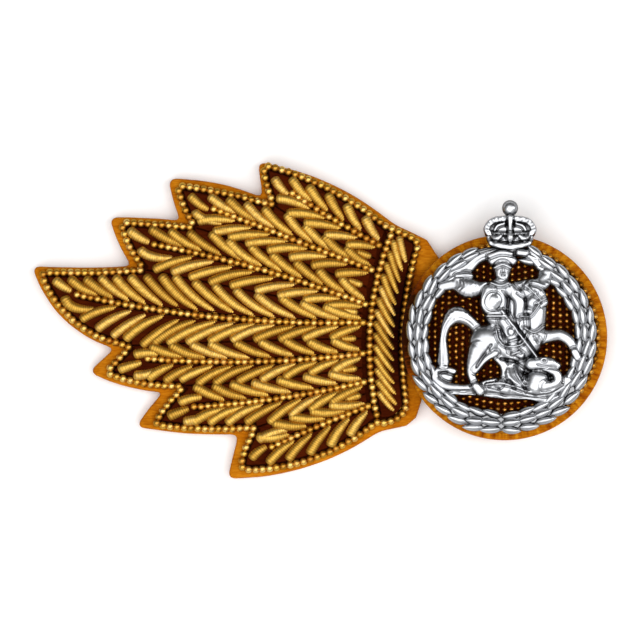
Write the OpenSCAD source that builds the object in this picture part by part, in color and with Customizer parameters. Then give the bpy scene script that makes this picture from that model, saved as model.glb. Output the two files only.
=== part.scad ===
// Collar badge: a gold-wire wing on felt with a round felt patch and a pierced silver emblem.
// It lies face up. The origin is on the back face, under the centre of the round patch.
// +X runs from the wing to the patch, +Y to the crown, and all sizes are millimetres.

/* [Felt] */
// Thickness of the felt under the wing
wing_felt_t = 2; // [1.5:0.1:2.2]
// Thickness of the padded round felt patch
disc_felt_t = 4.2; // [3.8:0.1:5]
// Radius of the round felt patch
disc_r = 14.1; // [13.9:0.1:14.6]
// Radius of the wing's hidden edge under the round patch
hidden_edge_r = 12; // [11:0.1:12.5]

/* [Gold wire] */
// Diameter of the beaded wire in the lines
bead_d = 0.86; // [0.6:0.02:0.9]
// Diameter of the cut coils laid as barbs
barb_d = 0.95; // [0.8:0.05:1]
// Height of the padding under the barbs
pad_t = 0.7; // [0.5:0.05:0.9]
// Radius of the beaded ring on the round patch
ring_r = 12.7; // [12.6:0.1:13.2]
// Length of a barb of the cuff
cuff_barb_l = 4.4; // [3:0.1:4.6]
// Distance between the barbs of the cuff
cuff_barb_pitch = 1.8; // [1.7:0.05:2.5]

/* [Emblem] */
// Outer radius of the wreath
wreath_r = 12.75; // [12:0.05:13]
// Width of the wreath
wreath_w = 2.5; // [2:0.05:3]
// Thickness of the wreath's band under its leaves
wreath_t = 0.9; // [0.6:0.1:1.2]
// Bundles of leaves on each side of the wreath
bundles = 15; // [13:1:16]
// Radius of the ball on the crown
ball_r = 1.1; // [0.8:0.05:1.3]
// Radius of the two posts that fix the emblem
post_r = 0.6; // [0.4:0.05:0.8]

/* [Clearance] */
// Gap between pieces that lie on each other
gap = 0.05; // [0.03:0.01:0.1]
// Space left round the wing where the patch overlaps it
seat_gap = 0.1; // [0.05:0.01:0.15]

/* [Hidden] */

felt_color = "darkgoldenrod";
gold_color = "goldenrod";
ground_color = "saddlebrown";
silver_color = "silver";

// The seven feathers from the top one down. Each edge is an arc through three points.
// Columns: felt tip, middle of the edge above it, middle of the edge below it, notch after it.
felt_rows = [
    [[-33.8, 24.1], [-23.6, 21.0], [-33.5, 21.5], [-33.2, 19.2]],
    [[-46.1, 21.8], [-39.5, 21.2], [-45.4, 18.7], [-44.4, 16.0]],
    [[-54.2, 16.5], [-49.2, 16.4], [-53.0, 13.0], [-51.1, 9.8]],
    [[-64.8, 9.8], [-57.7, 9.6], [-60.7, 2.7], [-53.5, -1.5]],
    [[-57.0, -4.7], [-55.2, -3.0], [-52.1, -6.7], [-46.8, -7.5]],
    [[-50.5, -12.3], [-48.6, -9.5], [-43.3, -13.2], [-36.5, -13.3]],
    [[-38.0, -19.4], [-37.2, -16.0], [-27.1, -17.8], [-17.3, -13.0]]
];
// Columns: bead line's tip, middle of its edge above, middle of its edge below, notch after it.
bead_rows = [
    [[-33.0, 23.7], [-23.9, 20.3], [-32.6, 20.9], [-31.5, 18.1]],
    [[-44.9, 20.9], [-37.9, 19.7], [-44.0, 18.0], [-42.4, 15.1]],
    [[-52.6, 15.8], [-47.5, 15.5], [-51.4, 12.4], [-49.3, 9.3]],
    [[-63.6, 9.0], [-56.5, 8.9], [-59.0, 2.2], [-51.2, -1.1]],
    [[-54.7, -4.8], [-53.0, -3.0], [-49.4, -6.3], [-43.8, -6.6]],
    [[-48.1, -11.9], [-46.2, -9.2], [-41.2, -12.5], [-34.0, -12.3]],
    [[-36.2, -18.1], [-35.5, -15.2], [-26.3, -16.6], [-17.4, -11.4]]
];
// Columns: spine's outer end, its middle, its end at the cuff.
spine_rows = [
    [[-29.1, 19.8], [-23.2, 16.1], [-17.2, 12.7]],
    [[-39.9, 17.7], [-29.0, 13.5], [-18.2, 9.3]],
    [[-48.1, 12.8], [-33.2, 9.3], [-19.1, 4.6]],
    [[-58.7, 5.9], [-39.3, 2.8], [-19.4, 2.1]],
    [[-49.0, -2.9], [-34.2, -3.3], [-19.5, -2.2]],
    [[-42.6, -9.5], [-30.8, -8.3], [-19.3, -6.1]],
    [[-31.9, -15.0], [-25.2, -12.0], [-18.7, -9.4]]
];
// Lines where two feathers meet. Columns: middle, end at the cuff. They start at the bead notches.
seam_rows = [
    [[-24.7, 14.0], [-17.6, 10.8]],
    [[-30.5, 11.2], [-18.8, 6.9]],
    [[-34.3, 6.3], [-19.4, 3.3]],
    [[-35.3, -0.5], [-19.6, -0.1]],
    [[-31.6, -5.7], [-19.5, -4.1]],
    [[-26.5, -9.9], [-19.0, -7.7]]
];
// Barbs of each feather, above and below its spine.
// Columns: slant at the tip, slant at the cuff, distance apart at the tip, distance at the cuff.
upper_barbs = [[18, 20, 2.7, 3.1], [17, 17, 3.2, 3.5], [18, 16, 3.3, 3.5], [31, 15, 2.1, 3.2],
               [17, 10, 3.5, 3.8], [19, 17, 3.4, 3.8], [18, 16, 3.3, 3.6]];
lower_barbs = [[19, 20, 3.2, 3.4], [19, 19, 3.3, 3.6], [20, 18, 3.3, 3.7], [28, 18, 2.2, 3.6],
               [20, 17, 3.1, 3.5], [17, 15, 3.1, 3.5], [19, 18, 3.2, 3.2]];
// One thick barb in line with the spine fills each tip. Columns: outer end, inner end.
tip_barbs = [
    [[-31.7, 22.1], [-29.6, 19.5]],
    [[-43.3, 19.6], [-40.5, 17.5]],
    [[-51.7, 14.8], [-48.6, 13.0]],
    [[-61.8, 8.0], [-59.3, 6.3]],
    [[-53.1, -4.5], [-49.7, -3.4]],
    [[-46.3, -10.9], [-43.2, -9.7]],
    [[-34.9, -16.8], [-32.5, -14.9]]
];
// Bead lines of the cuff. Columns: start, middle, end.
cuff_top = [[-16.1, 15.1], [-13.9, 14.3], [-11.7, 13.0]];
cuff_right = [[-11.7, 13.0], [-13.9, 0.5], [-13.4, -9.2]];
cuff_bottom = [[-13.4, -9.2], [-14.5, -10.9], [-17.4, -11.4]];
cuff_left = [[-15.6, 14.0], [-18.4, 1.6], [-17.5, -10.6]];
// Felt round the cuff, from the top feather to the round patch, and back below it.
cuff_felt_top = [[-15.2, 15.6], [-12.8, 14.5], [-10.6, 13.4], [-9.5, 11.1]];
cuff_felt_bottom = [[-11.4, -9.0], [-12.1, -11.0], [-13.4, -12.1], [-15.2, -12.7]];

edge_steps = 7;
line_steps = 14;
tip_cut = 1.1;
bead_r = bead_d / 2;
barb_r = barb_d / 2;
wing_top = wing_felt_t;
bead_z = wing_top + gap + bead_r;
pad_top = wing_top + gap + pad_t;
disc_top = disc_felt_t;
// The round patch lies over the bead line at the cuff, with this much room.
seat_top = wing_top + bead_d + 2 * gap + seat_gap;
// Directions from the origin to the two corners where the wing goes under the patch.
join_top = atan2(cuff_felt_top[3].y, cuff_felt_top[3].x);
join_bottom = 360 + atan2(cuff_felt_bottom[0].y, cuff_felt_bottom[0].x);
seat_play = 0.6;
ring_z = disc_top + gap + bead_r;
field_top = disc_top + 2 * gap + bead_d;
field_r = ring_r - bead_r - seat_gap;
emblem_z = field_top + gap;
wreath_center = [-0.5, -0.2];
post_places = [[-0.5, 11.1], [-0.5, -11.1]];
post_play = 0.15;

// Geometry helpers.
function unit(v) = v / norm(v);
function left_of(v) = [-v.y, v.x];
function turned(v, a) = [v.x * cos(a) - v.y * sin(a), v.x * sin(a) + v.y * cos(a)];
function cross2(a, b) = a.x * b.y - a.y * b.x;
function reversed(list) = [for (i = [len(list) - 1:-1:0]) list[i]];
function lerp(a, b, t) = a + (b - a) * t;
function pick(list, from, to) = [for (i = [from:to]) list[i]];

// Centre of the circle through three points.
function circle_center(a, m, b) =
    let (p = m - a, q = b - a, d = 2 * cross2(p, q), pp = p * p, qq = q * q)
    a + [q.y * pp - p.y * qq, p.x * qq - q.x * pp] / d;
function signed_angle(a, b) = atan2(cross2(a, b), a * b);
// Points of the arc from a through m to b.
function arc3(a, m, b, n = edge_steps) =
    let (c = circle_center(a, m, b),
         sweep = signed_angle(a - c, m - c) + signed_angle(m - c, b - c))
    [for (i = [0:n]) c + turned(a - c, sweep * i / n)];
// A polyline with each point moved sideways to its left by d.
function moved_left(path, d) =
    [for (i = [0:len(path) - 1])
        let (before = path[max(i - 1, 0)], after = path[min(i + 1, len(path) - 1)])
        path[i] + d * left_of(unit(after - before))];
// Rounds the corner between two stretches: a start, the corner and an end at distance cut.
function corner(before, at, after, cut) =
    let (p = at + cut * unit(before - at), q = at + cut * unit(after - at))
    [for (t = [0:0.25:1]) lerp(lerp(p, at, t), lerp(at, q, t), t)];
// A stretch without the points nearer than cut to its two ends.
function trimmed(path, cut) =
    [for (p = path) if (norm(p - path[0]) > cut && norm(p - path[len(path) - 1]) > cut) p];
// Joins stretches end to end and rounds the corners between them.
function rounded_loop(stretches, cut) =
    [for (i = [0:len(stretches) - 1])
        let (s = stretches[i], next = stretches[(i + 1) % len(stretches)])
        each concat(trimmed(s, cut), corner(s[len(s) - 2], s[len(s) - 1], next[1], cut))];
// Distance from a point along a direction to a polyline, or a large number where it misses.
far_off = 1000;
function hit(p, v, a, b) =
    let (w = b - a, den = cross2(v, w), s = den == 0 ? -1 : cross2(a - p, w) / den,
         t = den == 0 ? -1 : cross2(a - p, v) / den)
    (t >= 0 && t <= 1 && s > 0) ? s : far_off;
function reach(p, v, path) = min([for (i = [0:len(path) - 2]) hit(p, v, path[i], path[i + 1])]);

// Outlines that follow the tables.
function edge_above(rows, k) =
    arc3(k == 0 ? rows_start(rows) : rows[k - 1][3], rows[k][1], rows[k][0]);
function edge_below(rows, k) = arc3(rows[k][0], rows[k][2], rows[k][3]);
function rows_start(rows) = rows == felt_rows ? cuff_felt_top[0] : cuff_top[0];
function feather_edges(rows) = [for (k = [0:6]) each [edge_above(rows, k), edge_below(rows, k)]];
function spine(k) = arc3(spine_rows[k][0], spine_rows[k][1], spine_rows[k][2], line_steps);
function seam(k) = arc3(bead_rows[k][3], seam_rows[k][0], seam_rows[k][1], line_steps);
function bead_loop() =
    rounded_loop(concat(feather_edges(bead_rows),
        [reversed(arc3(cuff_bottom[0], cuff_bottom[1], cuff_bottom[2])),
         reversed(arc3(cuff_right[0], cuff_right[1], cuff_right[2])),
         reversed(arc3(cuff_top[0], cuff_top[1], cuff_top[2]))]), tip_cut);

// Sweeps a round wire of radius r along a flat path at height z.
wire_sides = 6;
module wire(path, r, z, closed = false) {
    n = len(path);
    function side(i) =
        let (before = closed ? path[(i + n - 1) % n] : path[max(i - 1, 0)],
             after = closed ? path[(i + 1) % n] : path[min(i + 1, n - 1)])
        left_of(unit(after - before));
    points = [for (i = [0:n - 1]) for (j = [0:wire_sides - 1])
        let (a = 360 * (j + 0.5) / wire_sides, s = path[i] + side(i) * r * cos(a))
        [s.x, s.y, z + r * sin(a)]];
    spans = closed ? n : n - 1;
    sides = [for (i = [0:spans - 1]) for (j = [0:wire_sides - 1])
        let (k = (j + 1) % wire_sides, a = i * wire_sides, b = ((i + 1) % n) * wire_sides)
        each [[a + j, a + k, b + j], [a + k, b + k, b + j]]];
    caps = closed ? [] : [[for (j = [wire_sides - 1:-1:0]) j],
                          [for (j = [0:wire_sides - 1]) (n - 1) * wire_sides + j]];
    polyhedron(points, concat(sides, caps), convexity = 8);
}

// Felt under the wing. Its right edge is hidden and runs along an arc under the round patch.
felt_tip_cut = 0.7;
module wing_base() {
    hidden = [for (i = [0:edge_steps])
        let (a = lerp(join_bottom, join_top, i / edge_steps)) hidden_edge_r * [cos(a), sin(a)]];
    color(felt_color)
    linear_extrude(wing_felt_t)
    polygon(concat(
        reversed(cuff_felt_bottom), hidden, reversed(cuff_felt_top),
        let (edges = feather_edges(felt_rows))
        [for (i = [0:len(edges) - 1])
            let (s = edges[i], last = i == len(edges) - 1)
            each concat(trimmed(s, felt_tip_cut),
                last ? [s[len(s) - 1]]
                     : corner(s[len(s) - 2], s[len(s) - 1], edges[i + 1][1], felt_tip_cut))]));
}

// Round felt patch. It lies on the table, and its left side is cut away under to clear the wing.
module disc_base() {
    color(felt_color)
    difference() {
        cylinder(h = disc_top, r = disc_r, $fn = 96);
        rotate([0, 0, join_top - seat_play])
            rotate_extrude(angle = join_bottom - join_top + 2 * seat_play, $fn = 96)
            translate([hidden_edge_r - seat_gap, -1])
            square([disc_r, seat_top + 1]);
        post_holes(disc_top);
    }
}

module post_holes(top) {
    for (p = post_places)
        translate([p.x, p.y, -1])
        cylinder(h = top + 2, r = post_r + post_play, $fn = 24);
}

// One barb: a straight spindle whose ends narrow, from point a to point b.
barb_rise = 0.12;
barb_neck = 0.5;
module barb(a, b, r) {
    v = b - a;
    l = norm(v);
    neck = min(barb_d, l / 4);
    translate([a.x, a.y, pad_top + barb_rise])
        rotate([0, 0, atan2(v.y, v.x)])
        rotate([0, 90, 0])
        rotate([0, 0, 20])
        rotate_extrude($fn = 16)
        polygon([[0, 0], [r * barb_neck, 0], [r, neck], [r, l - neck], [r * barb_neck, l], [0, l]]);
}

// Places for barbs along a spine: distances from its outer end that widen towards the cuff.
function stations(from, length, tip_step, cuff_step) =
    from >= length ? [] :
    concat([from], stations(from + lerp(tip_step, cuff_step, from / length), length, tip_step, cuff_step));
function path_length(path) = len(path) < 2 ? 0 :
    norm(path[1] - path[0]) + path_length(pick(path, 1, len(path) - 1));
function at_length(path, s) =
    let (l = norm(path[1] - path[0]))
    (s <= l || len(path) == 2) ? lerp(path[0], path[1], s / l)
                               : at_length(pick(path, 1, len(path) - 1), s - l);

// Barbs from a spine out to a seam or an edge. side is 1 above the spine and -1 below it.
root_off = bead_r + 0.35;
bead_off = 0.8;
seam_off = 0.3;
shortest_barb = 1.8;
longest_barb = 6.4;
// Neighbours in a row stay clear of each other by this share of their distance apart.
crowding = 0.46;
module barb_row(spine_path, bead_edge, seam_edge, side, row) {
    total = path_length(spine_path);
    for (s = stations(row[2] * 0.6, total - 0.3, row[2], row[3])) {
        t = s / total;
        root = at_length(spine_path, s);
        ahead = unit(at_length(spine_path, min(s + 0.2, total)) - root);
        start = root + left_of(ahead) * root_off * side;
        slant = lerp(row[0], row[1], t);
        way = turned(-ahead, -side * slant);
        long = min(longest_barb, reach(start, way, bead_edge), reach(start, way, seam_edge));
        r = min(barb_r, lerp(row[2], row[3], t) * sin(slant) * crowding);
        if (long > shortest_barb)
            barb(start, start + way * long, r);
    }
}

// Outline of a feather's padding, clear of its bead lines and of its neighbours.
pad_edge = 0.62;
pad_seam = 0.08;
off_page = [[far_off, far_off], [far_off, far_off + 1]];
function seam_above(k) = k == 0 ? off_page : moved_left(reversed(seam(k - 1)), seam_off);
function seam_below(k) = k == 6 ? off_page : moved_left(seam(k), seam_off);
// The spine's wire lies in a groove between the two halves of the padding.
groove_half = bead_r + 0.1;
function spine_groove(k) =
    let (path = spine(k), back = unit(path[0] - path[1]) * seat_gap)
    concat([path[0] + back], pick(path, 1, line_steps));
function pad_outline(k) =
    let (above = moved_left(edge_above(bead_rows, k), pad_edge),
         below = moved_left(edge_below(bead_rows, k), pad_edge),
         n = len(above) - 1,
         seam_in = k == 0 ? [] : moved_left(reversed(seam(k - 1)), pad_seam),
         seam_out = k == 6 ? [] : moved_left(seam(k), pad_seam),
         groove = spine_groove(k))
    concat(k == 0 ? [] : pick(seam_in, 0, line_steps - 1),
           pick(above, 1, n - 1), pick(below, 1, n - 1),
           k == 6 ? [] : pick(seam_out, 1, line_steps),
           moved_left(reversed(groove), groove_half), moved_left(groove, groove_half));

module feather(k) {
    color(gold_color)
    union() {
        translate([0, 0, wing_top + gap])
            linear_extrude(pad_t)
            polygon(pad_outline(k));
        barb_row(spine(k), moved_left(edge_above(bead_rows, k), bead_off), seam_above(k), 1, upper_barbs[k]);
        barb_row(spine(k), moved_left(edge_below(bead_rows, k), bead_off), seam_below(k), -1, lower_barbs[k]);
        barb(tip_barbs[k][0], tip_barbs[k][1], barb_r);
    }
}

// Padded band across the roots of the feathers, with slanted barbs between two bead lines.
// Slant from level of the cuff's barbs, by their place from the top, 0, to the bottom, 1.
cuff_slants = [[0, 76], [0.25, 68], [0.5, 57], [1, 50]];
cuff_end = 1.8;
cuff_gap = 0.8;
module cuff() {
    right = moved_left(reversed(arc3(cuff_right[0], cuff_right[1], cuff_right[2], line_steps)), pad_edge);
    left = moved_left(arc3(cuff_left[0], cuff_left[1], cuff_left[2], line_steps), pad_edge);
    n = len(left) - 1;
    length = norm(left[n] - left[0]);
    color(gold_color)
    union() {
        translate([0, 0, wing_top + gap])
            linear_extrude(pad_t)
            polygon(concat(pick(left, 1, n - 1), pick(right, 1, n - 1)));
        for (s = [cuff_end:cuff_barb_pitch:length - cuff_end]) {
            middle = (at_length(left, s) + at_length(reversed(right), s)) / 2;
            slant = lookup(s / length, cuff_slants);
            way = [-cos(slant), sin(slant)];
            up = min(reach(middle, way, left) - barb_r, reach(middle, way, cuff_top) - cuff_gap);
            down = min(reach(middle, -way, right) - barb_r, reach(middle, -way, cuff_bottom) - cuff_gap);
            barb(middle + way * min(up, cuff_barb_l / 2), middle - way * min(down, cuff_barb_l / 2),
                 min(barb_r, cuff_barb_pitch * cos(slant) * crowding));
        }
    }
}

module wing_edging() {
    color(gold_color)
    wire(bead_loop(), bead_r, bead_z, closed = true);
}

module cuff_edging() {
    color(gold_color)
    wire(arc3(cuff_left[0], cuff_left[1], cuff_left[2], line_steps), bead_r, bead_z);
}

module spine_wire(k) {
    color(gold_color)
    wire(spine(k), bead_r, bead_z);
}

module disc_edging() {
    color(gold_color)
    translate([0, 0, ring_z])
    rotate_extrude($fn = 96)
    translate([ring_r, 0])
    circle(bead_r, $fn = 24);
}

// Rows of fine beads sewn side by side under the emblem, as one round field.
module disc_field() {
    color(ground_color)
    difference() {
        translate([0, 0, disc_top + gap])
            cylinder(h = field_top - disc_top - gap, r = field_r, $fn = 96);
        post_holes(field_top);
    }
}

// Relief of the emblem. Heights are measured from its back face.
relief_sides = 8;
mound_top = 0.6;
// A low mound: a short cone with a narrower top.
module mound(p, r, h) {
    translate([p.x, p.y, 0])
        cylinder(h = h, r1 = r, r2 = r * mound_top, $fn = relief_sides);
}
// A limb from one mound to the next, for each pair of rows. Columns: place, radius, height.
module limb(rows) {
    for (i = [0:len(rows) - 2])
        hull() {
            mound(rows[i][0], rows[i][1], rows[i][2]);
            mound(rows[i + 1][0], rows[i + 1][1], rows[i + 1][2]);
        }
}

// Ground and lower wreath
ground_strip = [[[-8.2, -7.2], 0.6, 1.2], [[-4, -7.4], 0.6, 1.3], [[0, -7.8], 0.7, 1.3],
                [[3.6, -7.8], 0.8, 1.3], [[6.4, -8.2], 1.5, 1.2]];
wreath_ties = [[[-6.9, 8.6], 1, 1.3], [[-5.3, 9.4], 1, 1.4], [[-3.2, 10.95], 0.65, 1.5],
               [[0, 11.6], 0.8, 1.6], [[2.8, 11.6], 0.7, 1.5], [[5.3, 9.8], 1.1, 1.3]];
// Dragon
tail_web = [[[-7.8, -5.4], 0.8, 1], [[-9.2, -5], 0.8, 1]];
dragon_tail = [[[-3.4, -6.8], 0.6, 1.7], [[-6.2, -6.9], 0.6, 1.6], [[-8.5, -6.5], 0.6, 1.5],
               [[-9.6, -5.2], 0.55, 1.4], [[-8.6, -4.2], 0.5, 1.4], [[-7, -4.6], 0.45, 1.5]];
dragon_coil = [[[-3, -6.7], 0.8, 1.7], [[-1.4, -6.5], 1.05, 2], [[0.2, -6.8], 1, 1.9]];
dragon_body = [[[0.2, -6.9], 1, 1.8], [[2.2, -6.6], 1.4, 2], [[4.4, -6.6], 1.6, 2.1],
               [[6.4, -6.5], 1.4, 1.9], [[8.3, -6], 1, 1.5]];
dragon_wing = [[[2.2, -6.2], 1.1, 2.3], [[0.9, -5.2], 1.2, 2.3], [[0.8, -4.1], 1, 2]];
dragon_shoulder = [[[4.2, -6.5], 1.4, 2.5], [[4.5, -5.7], 1.5, 2.5]];
dragon_neck = [[[5.4, -6.6], 0.7, 2.3], [[7.1, -6.1], 0.65, 2.2], [[7, -4.8], 0.65, 2.2],
               [[5.6, -4.1], 0.7, 2.2]];
dragon_head = [[[3.6, -3.6], 0.9, 2.3], [[5.8, -3.4], 0.8, 2.4], [[7.2, -3.8], 0.5, 2]];
// Horse
belly_shade = [[[-0.3, -3.2], 1, 1.3], [[1.6, -3.6], 1.5, 1.3], [[3.4, -3.4], 1.3, 1.3]];
horse_tail = [[[-3.6, 1], 0.8, 2], [[-4.9, 2.3], 0.85, 2], [[-6.6, 3.1], 1.25, 2.3],
              [[-7.9, 1.9], 0.75, 1.9], [[-8.4, 0], 0.55, 1.7], [[-8.4, -1.8], 0.75, 1.6],
              [[-8.4, -3.3], 0.9, 1.4]];
rear_leg_far = [[[-1.3, -2.4], 0.7, 2], [[-0.2, -3.8], 0.6, 1.9], [[-0.1, -5.3], 0.55, 1.8],
                [[-0.8, -6.4], 0.5, 1.8]];
front_leg = [[[3.9, 0], 1.4, 2.1], [[6, 0.2], 0.9, 2.2], [[7.6, 0.3], 0.85, 1.9],
             [[8.9, -0.6], 0.75, 1.7], [[9.8, -2.4], 0.55, 1.5]];
saddle = [[[1.6, 5.6], 1.5, 2.1], [[1.8, 3.4], 1.5, 2.2], [[1.6, 1.2], 1.5, 2.2]];
saddle_back = [[[-1.6, 1.6], 0.9, 2.2], [[0, 1.2], 1, 2.2]];
mane = [[[1.5, 6.8], 0.9, 2.4], [[3.2, 7], 1, 2.5], [[5, 7.3], 1, 2.2], [[5.6, 8.7], 1.1, 1.6]];
horse_neck = [[[3.6, 0.6], 1.9, 2.5], [[3.9, 2.8], 1.8, 2.6], [[3.9, 4.8], 1.9, 2.6]];
horse_head = [[[3, 6.3], 1, 2.7], [[4.5, 6], 0.95, 2.75], [[5.3, 4.8], 0.65, 2.4]];
horse_rump = [[[-2.6, -0.5], 2.3, 2.7], [[-2.3, -0.4], 2.2, 2.7]];
horse_flank = [[[-0.6, -0.9], 1.7, 2.3], [[1.4, -1.5], 1.8, 2.3], [[3.4, -0.8], 1.6, 2.3]];
rear_leg = [[[-3.7, -1.8], 1.4, 2.5], [[-4.6, -4.3], 0.75, 2.1], [[-4.3, -5.9], 0.6, 1.9],
            [[-3.5, -7.2], 0.6, 1.8]];
rear_leg_near = [[[-1.3, -2.1], 0.5, 2.4], [[-2.7, -3], 0.45, 2.2], [[-4.1, -4.5], 0.5, 2.1]];
// Rider
cloak_fold = [[[-6.3, 8.1], 0.8, 1.8], [[-5, 8.3], 0.8, 1.9]];
cloak = [[[-2.4, 6.8], 0.9, 2.3], [[-3.6, 6.7], 1, 2], [[-5.1, 6.8], 1.4, 2.5],
         [[-6.8, 7.3], 0.9, 1.7], [[-8.6, 7], 0.7, 1.4]];
rider_crest = [[[-1.6, 10.6], 0.8, 2.3], [[-0.3, 11.1], 1, 2.5], [[1, 10.5], 0.7, 2.2]];
rider_head = [[[-0.4, 8.1], 0.9, 2.6], [[-0.35, 9.3], 1.25, 2.8]];
far_arm = [[[0.6, 6.7], 0.9, 2.8], [[1.9, 5.2], 0.8, 2.8], [[1.9, 3.2], 0.7, 2.7]];
rider_body = [[[-1.2, 3], 1.5, 2.6], [[-1.5, 5], 1.9, 2.75], [[-0.9, 6.5], 1.6, 2.7]];
rider_leg = [[[0, 2.4], 1.1, 2.8], [[0.9, 0.5], 0.9, 2.8], [[1.2, -1.6], 0.6, 2.6],
             [[2.2, -2.4], 0.5, 2.4]];
near_arm = [[[-2.2, 6.4], 0.9, 2.8], [[-2.7, 4.6], 0.75, 2.85], [[-1.6, 3.3], 0.6, 2.85],
            [[-0.3, 3.4], 0.5, 2.85]];
lance = [[[-0.5, 3.7], 0.24, 3], [[4.3, -2.6], 0.24, 2.8]];

// A laurel leaf: a ridge from its root at the origin to its tip along +X.
module leaf(l, w, h) {
    polyhedron(
        [[0, 0, 0], [l * 0.45, -w / 2, 0], [l, 0, 0], [l * 0.45, w / 2, 0], [l * 0.45, 0, h]],
        [[0, 1, 2, 3], [1, 0, 4], [2, 1, 4], [3, 2, 4], [0, 3, 4]]);
}

leaf_l = 2.95;
leaf_w = 1.2;
leaf_h = 0.75;
// Each bundle has three leaves: lean of all, turn and distance between them
leaf_lean = 4;
leaf_fan = 8;
leaf_spread = 0.8;
middle_leaf_up = 0.25;
// The last bundles are narrower and stand further out
narrow_bundles = 3;
leaf_out = 0.45;
wreath_top_gap = 16;
wreath_edge = 0.3;
wreath_side_in = 0.1;
leaf_sink = 0.2;
// Rounds cut from the top of the ring. Columns: place, radius
top_cuts = [[[2.5, 9.55], 1.35], [[-2.95, 9.3], 1.05]];
module wreath_ring() {
    inner_r = wreath_r - wreath_w;
    difference() {
        translate([wreath_center.x, wreath_center.y, 0])
            rotate_extrude($fn = 64)
            polygon([[inner_r, 0], [wreath_r - wreath_side_in, 0], [wreath_r - wreath_edge, wreath_t],
                     [inner_r + wreath_edge, wreath_t]]);
        for (cut = top_cuts)
            translate([cut[0].x, cut[0].y, -1])
            cylinder(h = wreath_t + 2, r = cut[1], $fn = 24);
    }
}

module wreath() {
    middle_r = wreath_r - wreath_w / 2;
    step = (180 - wreath_top_gap) / bundles;
    wreath_ring();
    translate([wreath_center.x, wreath_center.y, wreath_t - leaf_sink])
        for (side = [0, 1])
            for (k = [0:bundles - 1])
                for (fan = [-1:1]) {
                    narrow = max(0, 1 + (k + 1 - bundles) / narrow_bundles);
                    mirror([side, 0, 0])
                        rotate([0, 0, -90 + k * step])
                        translate([middle_r + leaf_out * narrow + fan * leaf_spread * (1 - narrow / 2), 0,
                                   fan == 0 ? middle_leaf_up : 0])
                        rotate([0, 0, 90 + leaf_lean - fan * leaf_fan])
                        leaf(leaf_l, leaf_w, leaf_h);
                }
}

// Crown: its middle, and chains with the same columns as the limbs, measured from that middle
crown_x = 0.7;
crown_band = [[[-2.5, 13.1], 0.8, 1.5], [[0, 12.85], 0.85, 1.9], [[2.5, 13.1], 0.8, 1.5]];
crown_low_rim = [[[-2.65, 12.6], 0.3, 2], [[0, 12.3], 0.3, 2.4], [[2.65, 12.6], 0.3, 2]];
crown_high_rim = [[[-3.05, 13.9], 0.3, 2], [[0, 13.65], 0.3, 2.5], [[3.05, 13.9], 0.3, 2]];
crown_cap = [[[-2.25, 14.6], 1.3, 1.5], [[0, 14.9], 1.6, 1.7], [[2.25, 14.6], 1.3, 1.5]];
crown_arch = [[[2.95, 14.2], 0.45, 2.2], [[3.2, 14.9], 0.45, 2.2], [[2.3, 16], 0.45, 2.4],
              [[0, 16.3], 0.5, 2.5]];
crown_front = [[[0, 13.8], 0.45, 2.7], [[0, 15.2], 0.45, 2.8], [[0, 16.4], 0.5, 2.6]];
crown_stem = [[[0, 16.4], 0.7, 1.8], [[0, 17.2], 0.5, 1.6]];
ball_y = 17.7;
module crown() {
    translate([crown_x, 0, 0]) {
        for (rows = [crown_band, crown_low_rim, crown_high_rim, crown_cap, crown_front, crown_stem])
            limb(rows);
        limb(crown_arch);
        mirror([1, 0, 0])
            limb(crown_arch);
        translate([0, ball_y, ball_r])
            sphere(ball_r, $fn = 12);
    }
}

module emblem() {
    color(silver_color)
    translate([0, 0, emblem_z]) {
        wreath();
        crown();
        for (rows = [ground_strip, wreath_ties, tail_web, dragon_tail, dragon_coil, dragon_body,
                     dragon_wing, dragon_shoulder, dragon_neck, dragon_head, belly_shade,
                     horse_tail, rear_leg_far, front_leg, saddle, saddle_back, mane, horse_neck,
                     horse_head, horse_rump, horse_flank, rear_leg, rear_leg_near, cloak_fold,
                     cloak, rider_crest, rider_head, far_arm, rider_body, rider_leg, near_arm,
                     lance])
            limb(rows);
        for (p = post_places)
            translate([p.x, p.y, -emblem_z])
            cylinder(h = emblem_z + wreath_t / 2, r = post_r, $fn = 16);
    }
}

wing_base();
disc_base();
feather(0);  // feather_1
feather(1);  // feather_2
feather(2);  // feather_3
feather(3);  // feather_4
feather(4);  // feather_5
feather(5);  // feather_6
feather(6);  // feather_7
cuff();
wing_edging();
cuff_edging();
spine_wire(0);  // spine_1
spine_wire(1);  // spine_2
spine_wire(2);  // spine_3
spine_wire(3);  // spine_4
spine_wire(4);  // spine_5
spine_wire(5);  // spine_6
spine_wire(6);  // spine_7
disc_edging();
disc_field();
emblem();
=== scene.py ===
# %% [markdown]
# A collar badge: a gold-wire wing sewn on orange felt, with a silver emblem on a round patch.
# This lesson dresses the measured solids of the badge in its real finishes, piece by piece.
# The solids come in first. They give the sizes and heights that every piece here has to keep.

# %% Load the measured model
import math

import bmesh
import bpy
import numpy as np
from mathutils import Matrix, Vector
from mathutils.geometry import tessellate_polygon


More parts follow.
